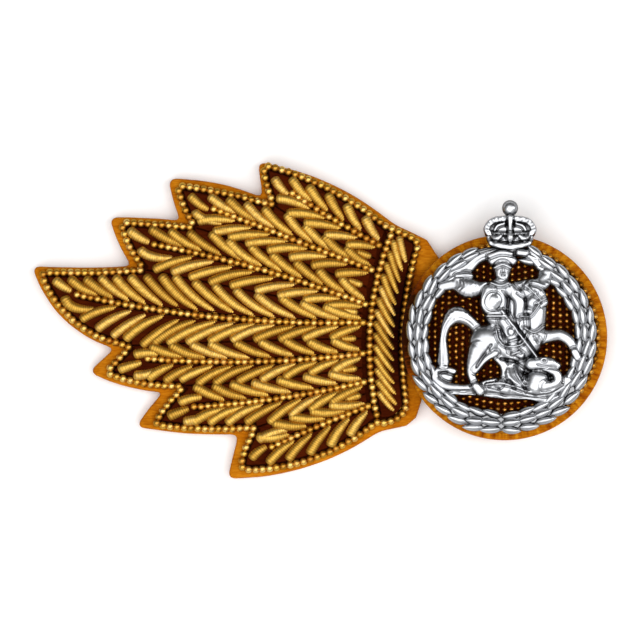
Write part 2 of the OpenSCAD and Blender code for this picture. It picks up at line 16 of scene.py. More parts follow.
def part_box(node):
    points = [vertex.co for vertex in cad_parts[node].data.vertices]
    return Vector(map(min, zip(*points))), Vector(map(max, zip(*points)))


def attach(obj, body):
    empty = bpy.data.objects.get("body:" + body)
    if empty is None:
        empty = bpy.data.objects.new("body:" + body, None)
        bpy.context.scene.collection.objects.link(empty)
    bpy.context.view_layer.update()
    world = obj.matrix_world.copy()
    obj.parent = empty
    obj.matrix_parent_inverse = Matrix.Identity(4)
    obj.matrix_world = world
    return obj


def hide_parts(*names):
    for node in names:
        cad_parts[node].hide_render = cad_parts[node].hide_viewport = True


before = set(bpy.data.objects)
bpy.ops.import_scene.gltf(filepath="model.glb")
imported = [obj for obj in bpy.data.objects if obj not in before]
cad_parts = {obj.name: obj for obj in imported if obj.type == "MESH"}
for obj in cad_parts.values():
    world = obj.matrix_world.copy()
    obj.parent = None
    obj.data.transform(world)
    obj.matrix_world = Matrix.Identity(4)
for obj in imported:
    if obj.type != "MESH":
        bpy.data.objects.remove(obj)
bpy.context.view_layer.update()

MM = 0.001
LAY_GAP = 0.05

# %% [markdown]
# Blender works in metres, and embroidery is drawn in millimetres. The sizes of the badge are in
# millimetres and its angles in degrees, and a value that is neither is a share. One function
# turns millimetres into metres when a mesh is made.
# The heights are not typed in again: they are read from the solids, so a badge with thicker
# felt would be dressed just as well.

# %% Heights read from the solids
def low(node):
    """Height of a solid's lowest point."""
    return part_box(node)[0].z / MM


def high(node):
    """Height of a solid's highest point."""
    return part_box(node)[1].z / MM


def radius_of(node):
    """Radius of a round solid that has its centre at the origin."""
    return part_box(node)[1].x / MM


wing_top = high("wing_base")
bead_z = (low("spine_1") + high("spine_1")) / 2
bead_r = bead_z - low("spine_1")
barb_top = high("feather_4")
patch_top = high("disc_base")
patch_r = radius_of("disc_base")
ring_z = (low("disc_edging") + high("disc_edging")) / 2
ring_r = radius_of("disc_edging") - bead_r
field_top = high("disc_field")
field_r = radius_of("disc_field")
emblem_z = field_top + LAY_GAP
print("felt top", round(wing_top, 2), "beads at", round(bead_z, 2), "barbs to", round(barb_top, 2),
      "patch", round(patch_top, 2), "emblem from", round(emblem_z, 2), "to", round(high("emblem"), 2))

# %% [markdown]
# The maker of such a wing starts from a paper pattern. Here the pattern is a set of short tables.
# Each feather has a pointed tip, and its two edges are arcs, so three points give an edge.
# The felt is cut a little outside the line of beads, which has a table of its own.

# %% The pattern of the wing
# Columns: felt tip, middle of the edge above it, middle of the edge below it, notch after it
FELT_EDGES = [
    [(-33.8, 24.1), (-23.6, 21.0), (-33.5, 21.5), (-33.2, 19.2)],
    [(-46.1, 21.8), (-39.5, 21.2), (-45.4, 18.7), (-44.4, 16.0)],
    [(-54.2, 16.5), (-49.2, 16.4), (-53.0, 13.0), (-51.1, 9.8)],
    [(-64.8, 9.8), (-57.7, 9.6), (-60.7, 2.7), (-53.5, -1.5)],
    [(-57.0, -4.7), (-55.2, -3.0), (-52.1, -6.7), (-46.8, -7.5)],
    [(-50.5, -12.3), (-48.6, -9.5), (-43.3, -13.2), (-36.5, -13.3)],
    [(-38.0, -19.4), (-37.2, -16.0), (-27.1, -17.8), (-17.3, -13.0)],
]
# Columns: bead line's tip, middle of its edge above, middle of its edge below, notch after it
BEAD_EDGES = [
    [(-33.0, 23.7), (-23.9, 20.3), (-32.6, 20.9), (-31.5, 18.1)],
    [(-44.9, 20.9), (-37.9, 19.7), (-44.0, 18.0), (-42.4, 15.1)],
    [(-52.6, 15.8), (-47.5, 15.5), (-51.4, 12.4), (-49.3, 9.3)],
    [(-63.6, 9.0), (-56.5, 8.9), (-59.0, 2.2), (-51.2, -1.1)],
    [(-54.7, -4.8), (-53.0, -3.0), (-49.4, -6.3), (-43.8, -6.6)],
    [(-48.1, -11.9), (-46.2, -9.2), (-41.2, -12.5), (-34.0, -12.3)],
    [(-36.2, -18.1), (-35.5, -15.2), (-26.3, -16.6), (-17.4, -11.4)],
]
# Columns: spine's outer end, its middle, its end at the cuff
SPINES = [
    [(-29.1, 19.8), (-23.2, 16.1), (-17.2, 12.7)],
    [(-39.9, 17.7), (-29.0, 13.5), (-18.2, 9.3)],
    [(-48.1, 12.8), (-33.2, 9.3), (-19.1, 4.6)],
    [(-58.7, 5.9), (-39.3, 2.8), (-19.4, 2.1)],
    [(-49.0, -2.9), (-34.2, -3.3), (-19.5, -2.2)],
    [(-42.6, -9.5), (-30.8, -8.3), (-19.3, -6.1)],
    [(-31.9, -15.0), (-25.2, -12.0), (-18.7, -9.4)],
]
# Seams between two feathers start at the bead notches. Columns: middle, end at the cuff
SEAMS = [
    [(-24.7, 14.0), (-17.6, 10.8)],
    [(-30.5, 11.2), (-18.8, 6.9)],
    [(-34.3, 6.3), (-19.4, 3.3)],
    [(-35.3, -0.5), (-19.6, -0.1)],
    [(-31.6, -5.7), (-19.5, -4.1)],
    [(-26.5, -9.9), (-19.0, -7.7)],
]
CUFF_TOP = [(-16.1, 15.1), (-13.9, 14.3), (-11.7, 13.0)]
CUFF_RIGHT = [(-11.7, 13.0), (-13.9, 0.5), (-13.4, -9.2)]
CUFF_BOTTOM = [(-13.4, -9.2), (-14.5, -10.9), (-17.4, -11.4)]
CUFF_LEFT = [(-15.6, 14.0), (-18.4, 1.6), (-17.5, -10.6)]
CUFF_FELT_TOP = [(-15.2, 15.6), (-12.8, 14.5), (-10.6, 13.4), (-9.5, 11.1)]
CUFF_FELT_BOTTOM = [(-11.4, -9.0), (-12.1, -11.0), (-13.4, -12.1), (-15.2, -12.7)]
FEATHERS = len(SPINES)
print("feathers:", FEATHERS)

# %% [markdown]
# A few helpers draw the pattern. An arc through three points is enough for every edge, and a
# path can be moved sideways, cut to even steps, and rounded where two stretches meet.

# %% Drawing in the plane
def unit(v):
    return v / np.linalg.norm(v, axis=-1, keepdims=True)


def left_of(v):
    return np.stack([-v[..., 1], v[..., 0]], -1)


def turned(v, degrees):
    c, s = math.cos(math.radians(degrees)), math.sin(math.radians(degrees))
    return np.array([v[0] * c - v[1] * s, v[0] * s + v[1] * c])


def on_circle(radius, angles):
    """Points on a circle round the origin, at angles in radians."""
    return radius * np.column_stack([np.cos(angles), np.sin(angles)])


def arc(start, middle, end, step=0.25):
    """Points about step apart on the arc from start through middle to end."""
    a, m, b = (np.array(p, float) for p in (start, middle, end))
    p, q = m - a, b - a
    twice = 2 * (p[0] * q[1] - p[1] * q[0])
    centre = a + np.array([q[1] * (p @ p) - p[1] * (q @ q), p[0] * (q @ q) - q[0] * (p @ p)]) / twice
    turn = [math.atan2(u[0] * v[1] - u[1] * v[0], u @ v)
            for u, v in ((a - centre, m - centre), (m - centre, b - centre))]
    count = max(2, round(abs(sum(turn)) * np.linalg.norm(a - centre) / step))
    angles = np.degrees(sum(turn)) * np.linspace(0, 1, count + 1)
    return np.array([centre + turned(a - centre, angle) for angle in angles])


def bend(start, pull, end, count):
    """Points of a bend from start to end that leans out towards pull."""
    t = np.linspace(0, 1, count)[:, None]
    return (1 - t) ** 2 * start + 2 * t * (1 - t) * pull + t ** 2 * end


print("points on the longest feather's spine:", len(arc(*SPINES[3])))

# %% Working along a path
def lengths(path):
    """Distance of each point from the path's start, along the path."""
    steps = np.linalg.norm(np.diff(path, axis=0), axis=1)
    return np.concatenate([[0], np.cumsum(steps)])


def at(path, distances):
    """Points of a path at these distances from its start."""
    along = lengths(path)
    return np.stack([np.interp(distances, along, path[:, i]) for i in range(path.shape[1])], -1)


def moved_left(path, d, closed=False):
    """The path moved sideways by d, to the left of the way it runs."""
    before = np.roll(path, 1, 0)
    after = np.roll(path, -1, 0)
    if not closed:
        before[0], after[-1] = path[0], path[-1]
    return path + d * left_of(unit(after - before))


def rounded_loop(stretches, cut):
    """One closed path from stretches that meet. Each corner is rounded from distance cut."""
    points = []
    for stretch, following in zip(stretches, stretches[1:] + stretches[:1]):
        along = lengths(stretch)
        peak = stretch[-1]
        points.append(stretch[(along > cut) & (along < along[-1] - cut)])
        points.append(bend(peak + cut * unit(stretch[-2] - peak), peak,
                           peak + cut * unit(following[1] - peak), 7))
    return np.concatenate(points)


def even_loop(path, step):
    """A closed path again, at even steps of about this length."""
    closed = np.concatenate([path, path[:1]])
    total = lengths(closed)[-1]
    count = round(total / step)
    return at(closed, np.arange(count) * total / count)


def feather_edges(rows, first):
    """The edge above and the edge below each tip, from the top feather to the bottom one."""
    starts = [first] + [row[3] for row in rows[:-1]]
    return [arc(*points) for start, row in zip(starts, rows)
            for points in ((start, row[1], row[0]), (row[0], row[2], row[3]))]

print("spine of the longest feather:", round(lengths(arc(*SPINES[3]))[-1], 1), "mm long")

# %% [markdown]
# Every piece ends as one mesh. Small forms are gathered in a heap of points and faces, and the
# heap becomes a Blender object that rides on the badge and stands for its plain solid. Nearly
# every form here is a row of rings of points, so the faces between rings are made in one place.

# %% Heaps of forms
class Heap:
    """Points, faces and tones of many small forms that become one piece."""

    def __init__(self, *forms):
        self.points, self.faces, self.tones = [], [], []
        self.count = 0
        for form in forms:
            self.add(*form)

    def add(self, points, faces, tone=0.5):
        self.points.append(points)
        self.faces += [[i + self.count for i in face] for face in faces]
        self.tones.append(np.broadcast_to(tone, len(points)))
        self.count += len(points)


# %% Making a piece
triangle_counts = {}


def make_piece(name, heap, material, nodes=(), smooth=True):
    mesh = bpy.data.meshes.new(name)
    mesh.from_pydata((np.concatenate(heap.points) * MM).tolist(), [], heap.faces)
    mesh.validate()
    tone = mesh.attributes.new("tone", "FLOAT", "POINT")
    tone.data.foreach_set("value", np.concatenate(heap.tones).astype(np.float32))
    mesh.polygons.foreach_set("use_smooth", [smooth] * len(mesh.polygons))
    mesh.materials.append(material)
    piece = bpy.data.objects.new(name, mesh)
    bpy.context.scene.collection.objects.link(piece)
    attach(piece, "root")
    if nodes:
        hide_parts(*nodes)
    triangle_counts[name] = sum(len(face) - 2 for face in heap.faces)
    print(f"{name}: {triangle_counts[name]} triangles")
    return piece


def ring_faces(rings, sides, closed=False):
    """Faces that join each ring of points to the next one, and the last to the first if closed."""
    ring = np.arange(rings if closed else rings - 1)[:, None] * sides
    after = (ring + sides) % (rings * sides)
    s = np.arange(sides)
    t = (s + 1) % sides
    return np.stack([ring + s, ring + t, after + t, after + s], -1).reshape(-1, 4).tolist()


def poled_faces(rings, sides):
    """Faces of rings of points that are closed by two points more, one for each end."""
    pole = rings * sides
    s = np.arange(sides)
    t = (s + 1) % sides
    first = np.column_stack([np.full(sides, pole), t, s])
    last = np.column_stack([np.full(sides, pole + 1), pole - sides + s, pole - sides + t])
    return ring_faces(rings, sides) + first.tolist() + last.tolist()


# %% [markdown]
# The colours are mixed by shader nodes. A few helpers keep that readable: one makes a node and
# fills its inputs, with a number or with a link, and the others name the nodes that come often.

# %% Shader helpers
def feed(tree, node, inputs):
    """Fills inputs of a node, each with a socket of another node or with a value."""
    for name, value in inputs.items():
        if isinstance(value, bpy.types.NodeSocket):
            tree.links.new(value, node.inputs[name])
        else:
            node.inputs[name].default_value = value


def add_node(tree, kind, inputs, **settings):
    node = tree.nodes.new("ShaderNode" + kind)
    for name, value in settings.items():
        setattr(node, name, value)
    feed(tree, node, inputs)
    return node


def new_group(name, inputs, outputs):
    """A shader node group of plain numbers, with its input sockets and its output node."""
    group = bpy.data.node_groups.new(name, "ShaderNodeTree")
    for title, value in inputs.items():
        socket = group.interface.new_socket(title, in_out="INPUT", socket_type="NodeSocketFloat")
        socket.default_value = value
    for title in outputs:
        group.interface.new_socket(title, in_out="OUTPUT", socket_type="NodeSocketFloat")
    return group, group.nodes.new("NodeGroupInput").outputs, group.nodes.new("NodeGroupOutput")


def new_material(name):
    material = bpy.data.materials.new(name)
    material.use_nodes = True
    return material, material.node_tree, material.node_tree.nodes["Principled BSDF"]


def object_place(tree):
    return add_node(tree, "TexCoord", {}).outputs["Object"]


def calculated(tree, operation, *values):
    return add_node(tree, "Math", dict(enumerate(values)), operation=operation).outputs[0]


def noise(tree, place, scale, detail=3.0, roughness=0.55):
    inputs = {"Vector": place, "Scale": scale, "Detail": detail, "Roughness": roughness}
    return add_node(tree, "TexNoise", inputs).outputs["Fac"]


def ramp(tree, value, stops):
    """A colour ramp. Columns of stops: position, red, green, blue."""
    node = add_node(tree, "ValToRGB", {0: value})
    while len(node.color_ramp.elements) < len(stops):
        node.color_ramp.elements.new(0.5)
    for element, (position, *colour) in zip(node.color_ramp.elements, stops):
        element.position = position
        element.color = (*colour, 1)
    return node.outputs[0]


def bump(tree, height, distance_mm):
    inputs = {"Strength": 1.0, "Distance": distance_mm * MM, "Height": height}
    return add_node(tree, "Bump", inputs).outputs[0]


# %% [markdown]
# Felt, the cloth under the beads and the ground of the patch, both painted dark as shade,
# are all made of fibres.
# One shader group draws them: fine crossing hairs, and clouds where the dye took unevenly.
# It gives out a mask for the colour and a height for the bump, and each cloth mixes its own
# colours with them. Building the group once keeps all the cloths alike in scale.

# %% The group of fibres
HAIR_TURNS = (10, 75, 130)
HAIR_TILT = (0.3, 0.2)
HAIR_STRETCH = (0.25, 1.6, 1.0)
NOISE_PER_FIBRE = 1 / 3
HAIR_SHARE = 0.7
CLOUD_SHARE = 0.35


def make_fibre_group():
    group, given, out = new_group(
        "Fibres", {"Fibres per mm": 5.0, "Clouds per mm": 0.35}, ["Mask", "Height"])
    place = object_place(group)
    fine = calculated(group, "MULTIPLY", given["Fibres per mm"], NOISE_PER_FIBRE / MM)
    layers = []
    for turn in HAIR_TURNS:
        inputs = {"Vector": place, "Rotation": (*HAIR_TILT, math.radians(turn)), "Scale": HAIR_STRETCH}
        layers.append(noise(group, add_node(group, "Mapping", inputs).outputs[0], fine))
    hairs = calculated(group, "MAXIMUM", calculated(group, "MAXIMUM", layers[0], layers[1]), layers[2])
    clouds = noise(group, place, calculated(group, "MULTIPLY", given["Clouds per mm"], 1 / MM), detail=2.0)
    mask = calculated(group, "ADD", calculated(group, "MULTIPLY", hairs, HAIR_SHARE),
                      calculated(group, "MULTIPLY", clouds, CLOUD_SHARE))
    feed(group, out, {"Mask": mask, "Height": hairs})
    return group


fibre_group = make_fibre_group()
print("groups:", fibre_group.name)

# %% [markdown]
# Where the patch lies on the wing, its shade on the cloth and the gold wire is painted into
# their colour. A second group gives a mask of that painted shade in the corner, which is taller
# than it is wide, so the distance from its centre is measured in squeezed coordinates.

# %% The painted shade of the corner
SHADED_CORNER = (-13.9, 1.8)
CORNER_SQUEEZE = 0.5
CORNER_DARK_R = 1.6
CORNER_UNSHADED_R = 4.8


def make_corner_shade_group():
    """Mask of painted shade in the corner where the patch lies on the wing: 1 in it, 0 away from it."""
    group, given, out = new_group("Corner", {"Amount": 0.5}, ["Mask"])
    squeezed = add_node(group, "VectorMath", {0: object_place(group), 1: (1, CORNER_SQUEEZE, 0)},
                        operation="MULTIPLY")
    middle = (SHADED_CORNER[0] * MM, SHADED_CORNER[1] * CORNER_SQUEEZE * MM, 0)
    away = add_node(group, "VectorMath", {0: squeezed.outputs["Vector"], 1: middle},
                    operation="DISTANCE")
    fade = add_node(group, "MapRange", {"Value": away.outputs["Value"], "From Min": CORNER_UNSHADED_R * MM,
                                        "From Max": CORNER_DARK_R * MM})
    feed(group, out, {"Mask": calculated(group, "MULTIPLY", fade.outputs[0], given["Amount"])})
    return group


corner_shade_group = make_corner_shade_group()
print("groups:", fibre_group.name, corner_shade_group.name)

# %% [markdown]
# The nap of the round patch is brushed outwards in short strokes, darker and paler by turns.
# Noise over the angle and the distance from the centre, drawn out along the distance, gives
# such strokes. They belong to the top alone, so they fade where the surface turns down.

# %% Brushed strokes
STROKES_PER_MM = 1.3
STROKE_STRETCH = 0.12
STROKE_RADIUS = 13.5
STROKE_FALL = 2.0


def stroke_mask(tree):
    """Brushed strokes that run out over the top of the patch, about 0 on average."""
    parts = add_node(tree, "SeparateXYZ", {0: object_place(tree)}).outputs
    angle = calculated(tree, "ARCTAN2", parts["Y"], parts["X"])
    squares = [calculated(tree, "MULTIPLY", parts[axis], parts[axis]) for axis in "XY"]
    far = calculated(tree, "SQRT", calculated(tree, "ADD", *squares))
    place = add_node(tree, "CombineXYZ", {
        0: calculated(tree, "MULTIPLY", angle, STROKE_RADIUS * MM),
        1: calculated(tree, "MULTIPLY", far, STROKE_STRETCH)})
    strokes = noise(tree, place.outputs[0], STROKES_PER_MM / MM, detail=2.0)
    normal = add_node(tree, "NewGeometry", {}).outputs["Normal"]
    facing = add_node(tree, "SeparateXYZ", {0: normal}).outputs["Z"]
    up = calculated(tree, "POWER", calculated(tree, "MAXIMUM", facing, 0.0), STROKE_FALL)
    return calculated(tree, "MULTIPLY", calculated(tree, "SUBTRACT", strokes, 0.5), up)


print("a stroke is about", round(1 / STROKES_PER_MM, 2), "mm wide")

# %% [markdown]
# Each cloth is one shader with the fibres' mask in a colour ramp of its own, from the shadow
# between fibres to the tips that catch the light. Wool is dull, so roughness is near 1 and the
# mirror share near 0, and a little sheen stands for the fine hairs at a flat angle.

# %% The cloths
def cloth_material(name, stops, fibres, depth, sheen, corner, brushed=False):
    """A cloth of fibres. Columns of stops: position in the mask, red, green, blue."""
    material, tree, shader = new_material(name)
    fibre = add_node(tree, "Group", {"Fibres per mm": fibres}, node_tree=fibre_group).outputs
    corner_shade = add_node(tree, "Group", {"Amount": corner}, node_tree=corner_shade_group).outputs
    mask = fibre["Mask"]
    if brushed:
        mask = calculated(tree, "ADD", mask, stroke_mask(tree))
    # Painted shade: the corner mask darkens the cloth beside the patch
    mask = calculated(tree, "SUBTRACT", mask, corner_shade["Mask"])
    feed(tree, shader, {
        "Base Color": ramp(tree, mask, stops), "Normal": bump(tree, fibre["Height"], depth),
        "Roughness": 0.95, "Specular IOR Level": 0.03, "Sheen Weight": sheen, "Sheen Roughness": 0.5})
    return material


orange_felt = cloth_material(
    "orange_felt", [(0.1, 0.05, 0.010, 0.0005), (0.38, 0.24, 0.052, 0.001),
                    (0.55, 0.42, 0.125, 0.002), (0.72, 0.60, 0.22, 0.009)],
    fibres=9, depth=0.10, sheen=0.02, corner=0.4)
patch_orange = cloth_material(
    "patch_orange", [(0.1, 0.03, 0.006, 0.0003), (0.36, 0.20, 0.035, 0.0008),
                     (0.56, 0.40, 0.120, 0.002), (0.74, 0.58, 0.23, 0.008)],
    fibres=9, depth=0.10, sheen=0.02, corner=0.55, brushed=True)
# Dark red-brown as painted shade: between the gold wires and under the emblem
painted_shade_cloth = cloth_material(
    "painted_shade_cloth", [(0.2, 0.004, 0.0008, 0.0001), (0.4, 0.024, 0.0022, 0.0002),
                     (0.7, 0.064, 0.0080, 0.0004)],
    fibres=7, depth=0.06, sheen=0.0, corner=0.3)
print("cloths:", orange_felt.name, patch_orange.name, painted_shade_cloth.name)

# %% [markdown]
# The felt under the wing is cut out with scissors, 2 mm thick. Its edge shows all round the
# wing, so the sharp corner of an extruded outline would give it away. Rings of points that
# step inwards near the top round the edge, and a slow wave of a few hundredths of a
# millimetre keeps the cut from looking machined.

# %% Flat forms with rounded edges
def flat_cap(points, ring, z_up):
    """Fills a closed ring of point numbers with triangles, facing up or down."""
    corners = [Vector(points[i]) for i in ring]
    faces = []
    for a, b, c in tessellate_polygon([corners]):
        facing = (corners[b] - corners[a]).cross(corners[c] - corners[a]).z
        numbers = [ring[a], ring[b], ring[c]]
        if facing != 0:
            faces.append(numbers if (facing > 0) == z_up else numbers[::-1])
    return faces


def slab(outline, profile):
    """A sheet with rounded edges. The outline runs counter-clockwise.
    Columns of profile: how far in from the outline, height."""
    n = len(outline)
    points = np.concatenate([np.column_stack([moved_left(outline, inset, True), np.full(n, z)])
                             for inset, z in profile])
    faces = ring_faces(len(profile), n) + flat_cap(points, list(range(n)), False)
    return points, faces + flat_cap(points, list(range(len(points) - n, len(points))), True)


def rounded_to(top, rounding):
    """Profile of a rounded upper edge. Columns of rounding: how far in, how far below the top."""
    return [(inset, top - drop) for inset, drop in rounding]


def size_of(outline):
    """Width and length, in metres, of the cloth that an outline is cut from."""
    return tuple(float(s) * MM for s in np.ptp(outline, axis=0))


def area_of(outline):
    """Area of an outline in square metres."""
    x, y = outline.T
    return 0.5 * abs(float(np.sum(x * np.roll(y, -1) - y * np.roll(x, -1)))) * MM * MM


# %% The felt of the wing
FELT_CUT = 1.15
FELT_STEP = 0.22
FELT_WAVE = 0.02
FELT_ROUNDING = [(0.0, 0.5), (0.04, 0.22), (0.14, 0.07), (0.30, 0.0)]
HIDDEN_R = 12.0
felt_rng = np.random.default_rng(7)


def waved(outline, size, steps=40):
    """The outline with a slow seeded wave, as hand-cut cloth has."""
    wave = felt_rng.normal(0, 1, len(outline) // steps * 4)
    spread = np.interp(np.linspace(0, len(wave), len(outline)), np.arange(len(wave)), wave)
    return outline + left_of(unit(np.roll(outline, -1, 0) - outline)) * spread[:, None] * size


join_angles = [math.atan2(y, x) % (2 * math.pi) for x, y in (CUFF_FELT_TOP[3], CUFF_FELT_BOTTOM[0])]
hidden = on_circle(HIDDEN_R, np.linspace(*join_angles[::-1], 9))
felt_stretches = feather_edges(FELT_EDGES, CUFF_FELT_TOP[0])
felt_stretches += [np.array(CUFF_FELT_BOTTOM[::-1]), hidden, np.array(CUFF_FELT_TOP[::-1])]
felt_outline = even_loop(rounded_loop(felt_stretches, FELT_CUT), FELT_STEP)
felt_edge = [(0.10, 0.0), (0.0, 0.12)] + rounded_to(wing_top, FELT_ROUNDING)
wing_felt = make_piece("wing_felt", Heap(slab(waved(felt_outline, FELT_WAVE), felt_edge)),
                       orange_felt, ["wing_base"])
print("felt cut from", [round(s / MM, 1) for s in size_of(felt_outline)], "mm, area",
      round(area_of(felt_outline) / MM / MM), "square mm")

# %% [markdown]
# The round patch is thick felt, laid over the inner edge of the wing. It lies on the table, so
# its left side is hollowed from below where the wing goes in. The form is a profile turned
# round the centre, and the profile changes between two angles.

# %% The round patch
PATCH_STEP = 1.5
SEAT_PLAY = math.radians(0.6)
FOOT_LIFT = 0.02
FOOT_IN = 0.25
LOW_EDGE_IN = 0.2
LOW_EDGE_UP = 0.15
SEAT_ROOM = 0.15
SEAT_PAST = 0.1
PATCH_ROUNDING = [(0.0, 0.55), (0.05, 0.25), (0.18, 0.08), (0.42, 0.0)]
seat_top = low("disc_base") + wing_top + 2 * (bead_z - wing_top) + SEAT_ROOM
seat_r = HIDDEN_R - SEAT_PAST


def patch_profile(cut):
    """Radius and height, from the middle of the underside to the middle of the top."""
    inner = seat_r if cut else patch_r - FOOT_IN
    floor = seat_top if cut else FOOT_LIFT
    edge = [(patch_r - inset, z) for inset, z in rounded_to(patch_top, PATCH_ROUNDING)]
    return [(inner / 2, FOOT_LIFT), (inner, FOOT_LIFT), (inner, floor), (patch_r - LOW_EDGE_IN, floor),
            (patch_r, floor + LOW_EDGE_UP), *edge, (patch_r / 2, patch_top)]


cut_from, cut_to = join_angles[0] - SEAT_PLAY, join_angles[1] + SEAT_PLAY
columns = [(a, cut_from < a < cut_to) for a in np.radians(np.arange(0, 360, PATCH_STEP))]
columns += [(cut_from, False), (cut_from, True), (cut_to, True), (cut_to, False)]
columns.sort(key=lambda c: (c[0], c[1] if c[0] < math.pi else not c[1]))
ways = on_circle(1, np.array([a for a, cut in columns]))
levels = np.array([patch_profile(cut) for a, cut in columns]).transpose(1, 0, 2)
patch_points = [np.column_stack([ways * level[:, :1], level[:, 1]]) for level in levels]
patch_points = np.concatenate([*patch_points, [(0, 0, FOOT_LIFT), (0, 0, patch_top)]])
patch_felt = make_piece("patch_felt", Heap((patch_points, poled_faces(len(levels), len(columns)))),
                        patch_orange, ["disc_base"])


def clean(piece, near=0.001):
    """Joins points that fell together and drops faces without area."""
    mesh = bmesh.new()
    mesh.from_mesh(piece.data)
    bmesh.ops.remove_doubles(mesh, verts=mesh.verts, dist=near * MM)
    bmesh.ops.dissolve_degenerate(mesh, edges=mesh.edges, dist=near * MM)
    bmesh.ops.recalc_face_normals(mesh, faces=mesh.faces)
    mesh.to_mesh(piece.data)
    mesh.free()


clean(patch_felt)

# %% [markdown]
# Inside the bead line the felt is covered by a sheet coloured dark red-brown, and each feather
# has a flat pad under its barbs in the same colour. The dark colour is painted shade: between the
# gold wires it shows as thin shadows, and it gives the embroidery its depth. The pads have the
# outline of the feather with a groove for the spine, which is the outline that the solids have too.

# %% The ground under the wires
BEAD_CUT = 1.0
GROUND_STEP = 0.5
GROUND_PAST_BEADS = 0.05
GROUND_SINK = 0.02
GROUND_RISE = LAY_GAP * 0.8
edge_stretches = feather_edges(BEAD_EDGES, CUFF_TOP[0])
edge_stretches += [arc(*points)[::-1] for points in (CUFF_BOTTOM, CUFF_RIGHT, CUFF_TOP)]
bead_path = rounded_loop(edge_stretches, BEAD_CUT)
ground_outline = moved_left(even_loop(bead_path, GROUND_STEP), -GROUND_PAST_BEADS, True)
ground_form = slab(ground_outline, [(0, wing_top - GROUND_SINK), (0, wing_top + GROUND_RISE)])
ground = make_piece("painted_shade_cloth", Heap(ground_form), painted_shade_cloth)

# %% Spines and seams
spines = [arc(*row) for row in SPINES]
seams = [arc(row[3], *seam) for row, seam in zip(BEAD_EDGES, SEAMS)]
print("spines:", [round(lengths(path)[-1], 1) for path in spines], "mm long")

# %% Cutting paths where they cross
def crossing(first, second):
    """Where two paths cross: the segment of each, and the point. None where they don't."""
    for i in range(len(first) - 1, 0, -1):
        p, d = first[i - 1], first[i] - first[i - 1]
        for j in range(len(second) - 1):
            q, w = second[j], second[j + 1] - second[j]
            cross = d[0] * w[1] - d[1] * w[0]
            if abs(cross) < 1e-9:
                continue
            s = ((q[0] - p[0]) * w[1] - (q[1] - p[1]) * w[0]) / cross
            t = ((q[0] - p[0]) * d[1] - (q[1] - p[1]) * d[0]) / cross
            if 0 <= s <= 1 and 0 <= t <= 1:
                return i, j, p + s * d
    return None


def joined(paths):
    """One closed outline from paths in order. Neighbours that cross are cut at the crossing."""
    for n in range(len(paths)):
        m = (n + 1) % len(paths)
        found = crossing(paths[n], paths[m])
        if found:
            i, j, point = found
            paths[n] = np.concatenate([paths[n][:i], [point]])
            paths[m] = paths[m][j + 1:]
    return np.concatenate(paths)


# %% The pads
PAD_EDGE = 0.62
PAD_SEAM = 0.08
PAD_T = 0.7
GROOVE_PLAY = 0.1
PAD_ROUNDING = [(0, 0.25), (0.06, 0.06), (0.16, 0.0)]
pad_low = low("feather_4")
pad_top = pad_low + PAD_T
groove_half = bead_r + GROOVE_PLAY


def feather_pad(k):
    """Outline of the pad of feather k, with a groove for its spine."""
    sides = [moved_left(seams[k - 1][::-1], PAD_SEAM)] if k else []
    sides += [moved_left(edge, PAD_EDGE) for edge in edge_stretches[2 * k:2 * k + 2]]
    sides += [moved_left(seams[k], PAD_SEAM)] if k < FEATHERS - 1 else []
    return joined(sides + [moved_left(path, groove_half) for path in (spines[k][::-1], spines[k])])


cuff_sides = (CUFF_LEFT, CUFF_BOTTOM[::-1], CUFF_RIGHT[::-1], CUFF_TOP[::-1])
pad_outlines = [feather_pad(k) for k in range(FEATHERS)]
pad_outlines.append(joined([moved_left(arc(*points), PAD_EDGE) for points in cuff_sides]))
pad_edge = [(0, pad_low)] + rounded_to(pad_top, PAD_ROUNDING)
pads = make_piece("padding", Heap(*[slab(outline, pad_edge) for outline in pad_outlines]),
                  painted_shade_cloth)

# %% [markdown]
# Gold bullion is drawn copper wire with a thin gilding. New wire is bright and yellow, but the
# turns at the bottom of a coil, near the cloth, go brown first. A third shader group makes the
# tarnish, which comes in spots of noise. Each coil was also cut from another length of wire, so
# a tone is stored at every point of a mesh, and a colour ramp turns it into the metal's colour.

# %% The group of tarnish
TARNISH_FROM = 0.45
TARNISH_FULL = 0.72


def make_tarnish_group():
    group, given, out = new_group("Tarnish", {"Grain per mm": 1.2, "Amount": 0.5}, ["Mask"])
    scale = calculated(group, "MULTIPLY", given["Grain per mm"], 1 / MM)
    spots = noise(group, object_place(group), scale, detail=4.0, roughness=0.65)
    limit = add_node(group, "MapRange", {
        "Value": spots, "From Min": TARNISH_FROM, "From Max": TARNISH_FULL})
    feed(group, out, {"Mask": calculated(group, "MULTIPLY", limit.outputs[0], given["Amount"])})
    return group


tarnish_group = make_tarnish_group()
print("groups:", tarnish_group.name)

# %% The metals
EDGE_TINT = (0.35, 0.33, 0.32)
SCRATCHES_PER_MM = 6


def metal_material(name, tones, dull, amount, grain, roughness, scratch_mm):
    """A metal whose colour follows the stored tone and turns to a dull colour in spots.
    Columns of tones: tone, red, green, blue. roughness is the smooth and the dull value."""
    material, tree, shader = new_material(name)
    spots = add_node(tree, "Group", {"Grain per mm": grain, "Amount": amount},
                     node_tree=tarnish_group).outputs["Mask"]
    tone = add_node(tree, "Attribute", {}, attribute_name="tone").outputs["Fac"]
    # Inputs 6 and 7 are the two colours that the node mixes
    colour = add_node(tree, "Mix", {"Factor": spots, 6: ramp(tree, tone, tones), 7: (*dull, 1)},
                      data_type="RGBA").outputs[2]
    rough = add_node(tree, "MapRange", {
        "Value": spots, "To Min": roughness[0], "To Max": roughness[1]}).outputs[0]
    scratches = noise(tree, object_place(tree), SCRATCHES_PER_MM / MM, detail=2.0)
    feed(tree, shader, {
        "Base Color": colour, "Roughness": rough, "Normal": bump(tree, scratches, scratch_mm),
        "Metallic": 1.0, "Specular Tint": (*EDGE_TINT, 1)})
    return material


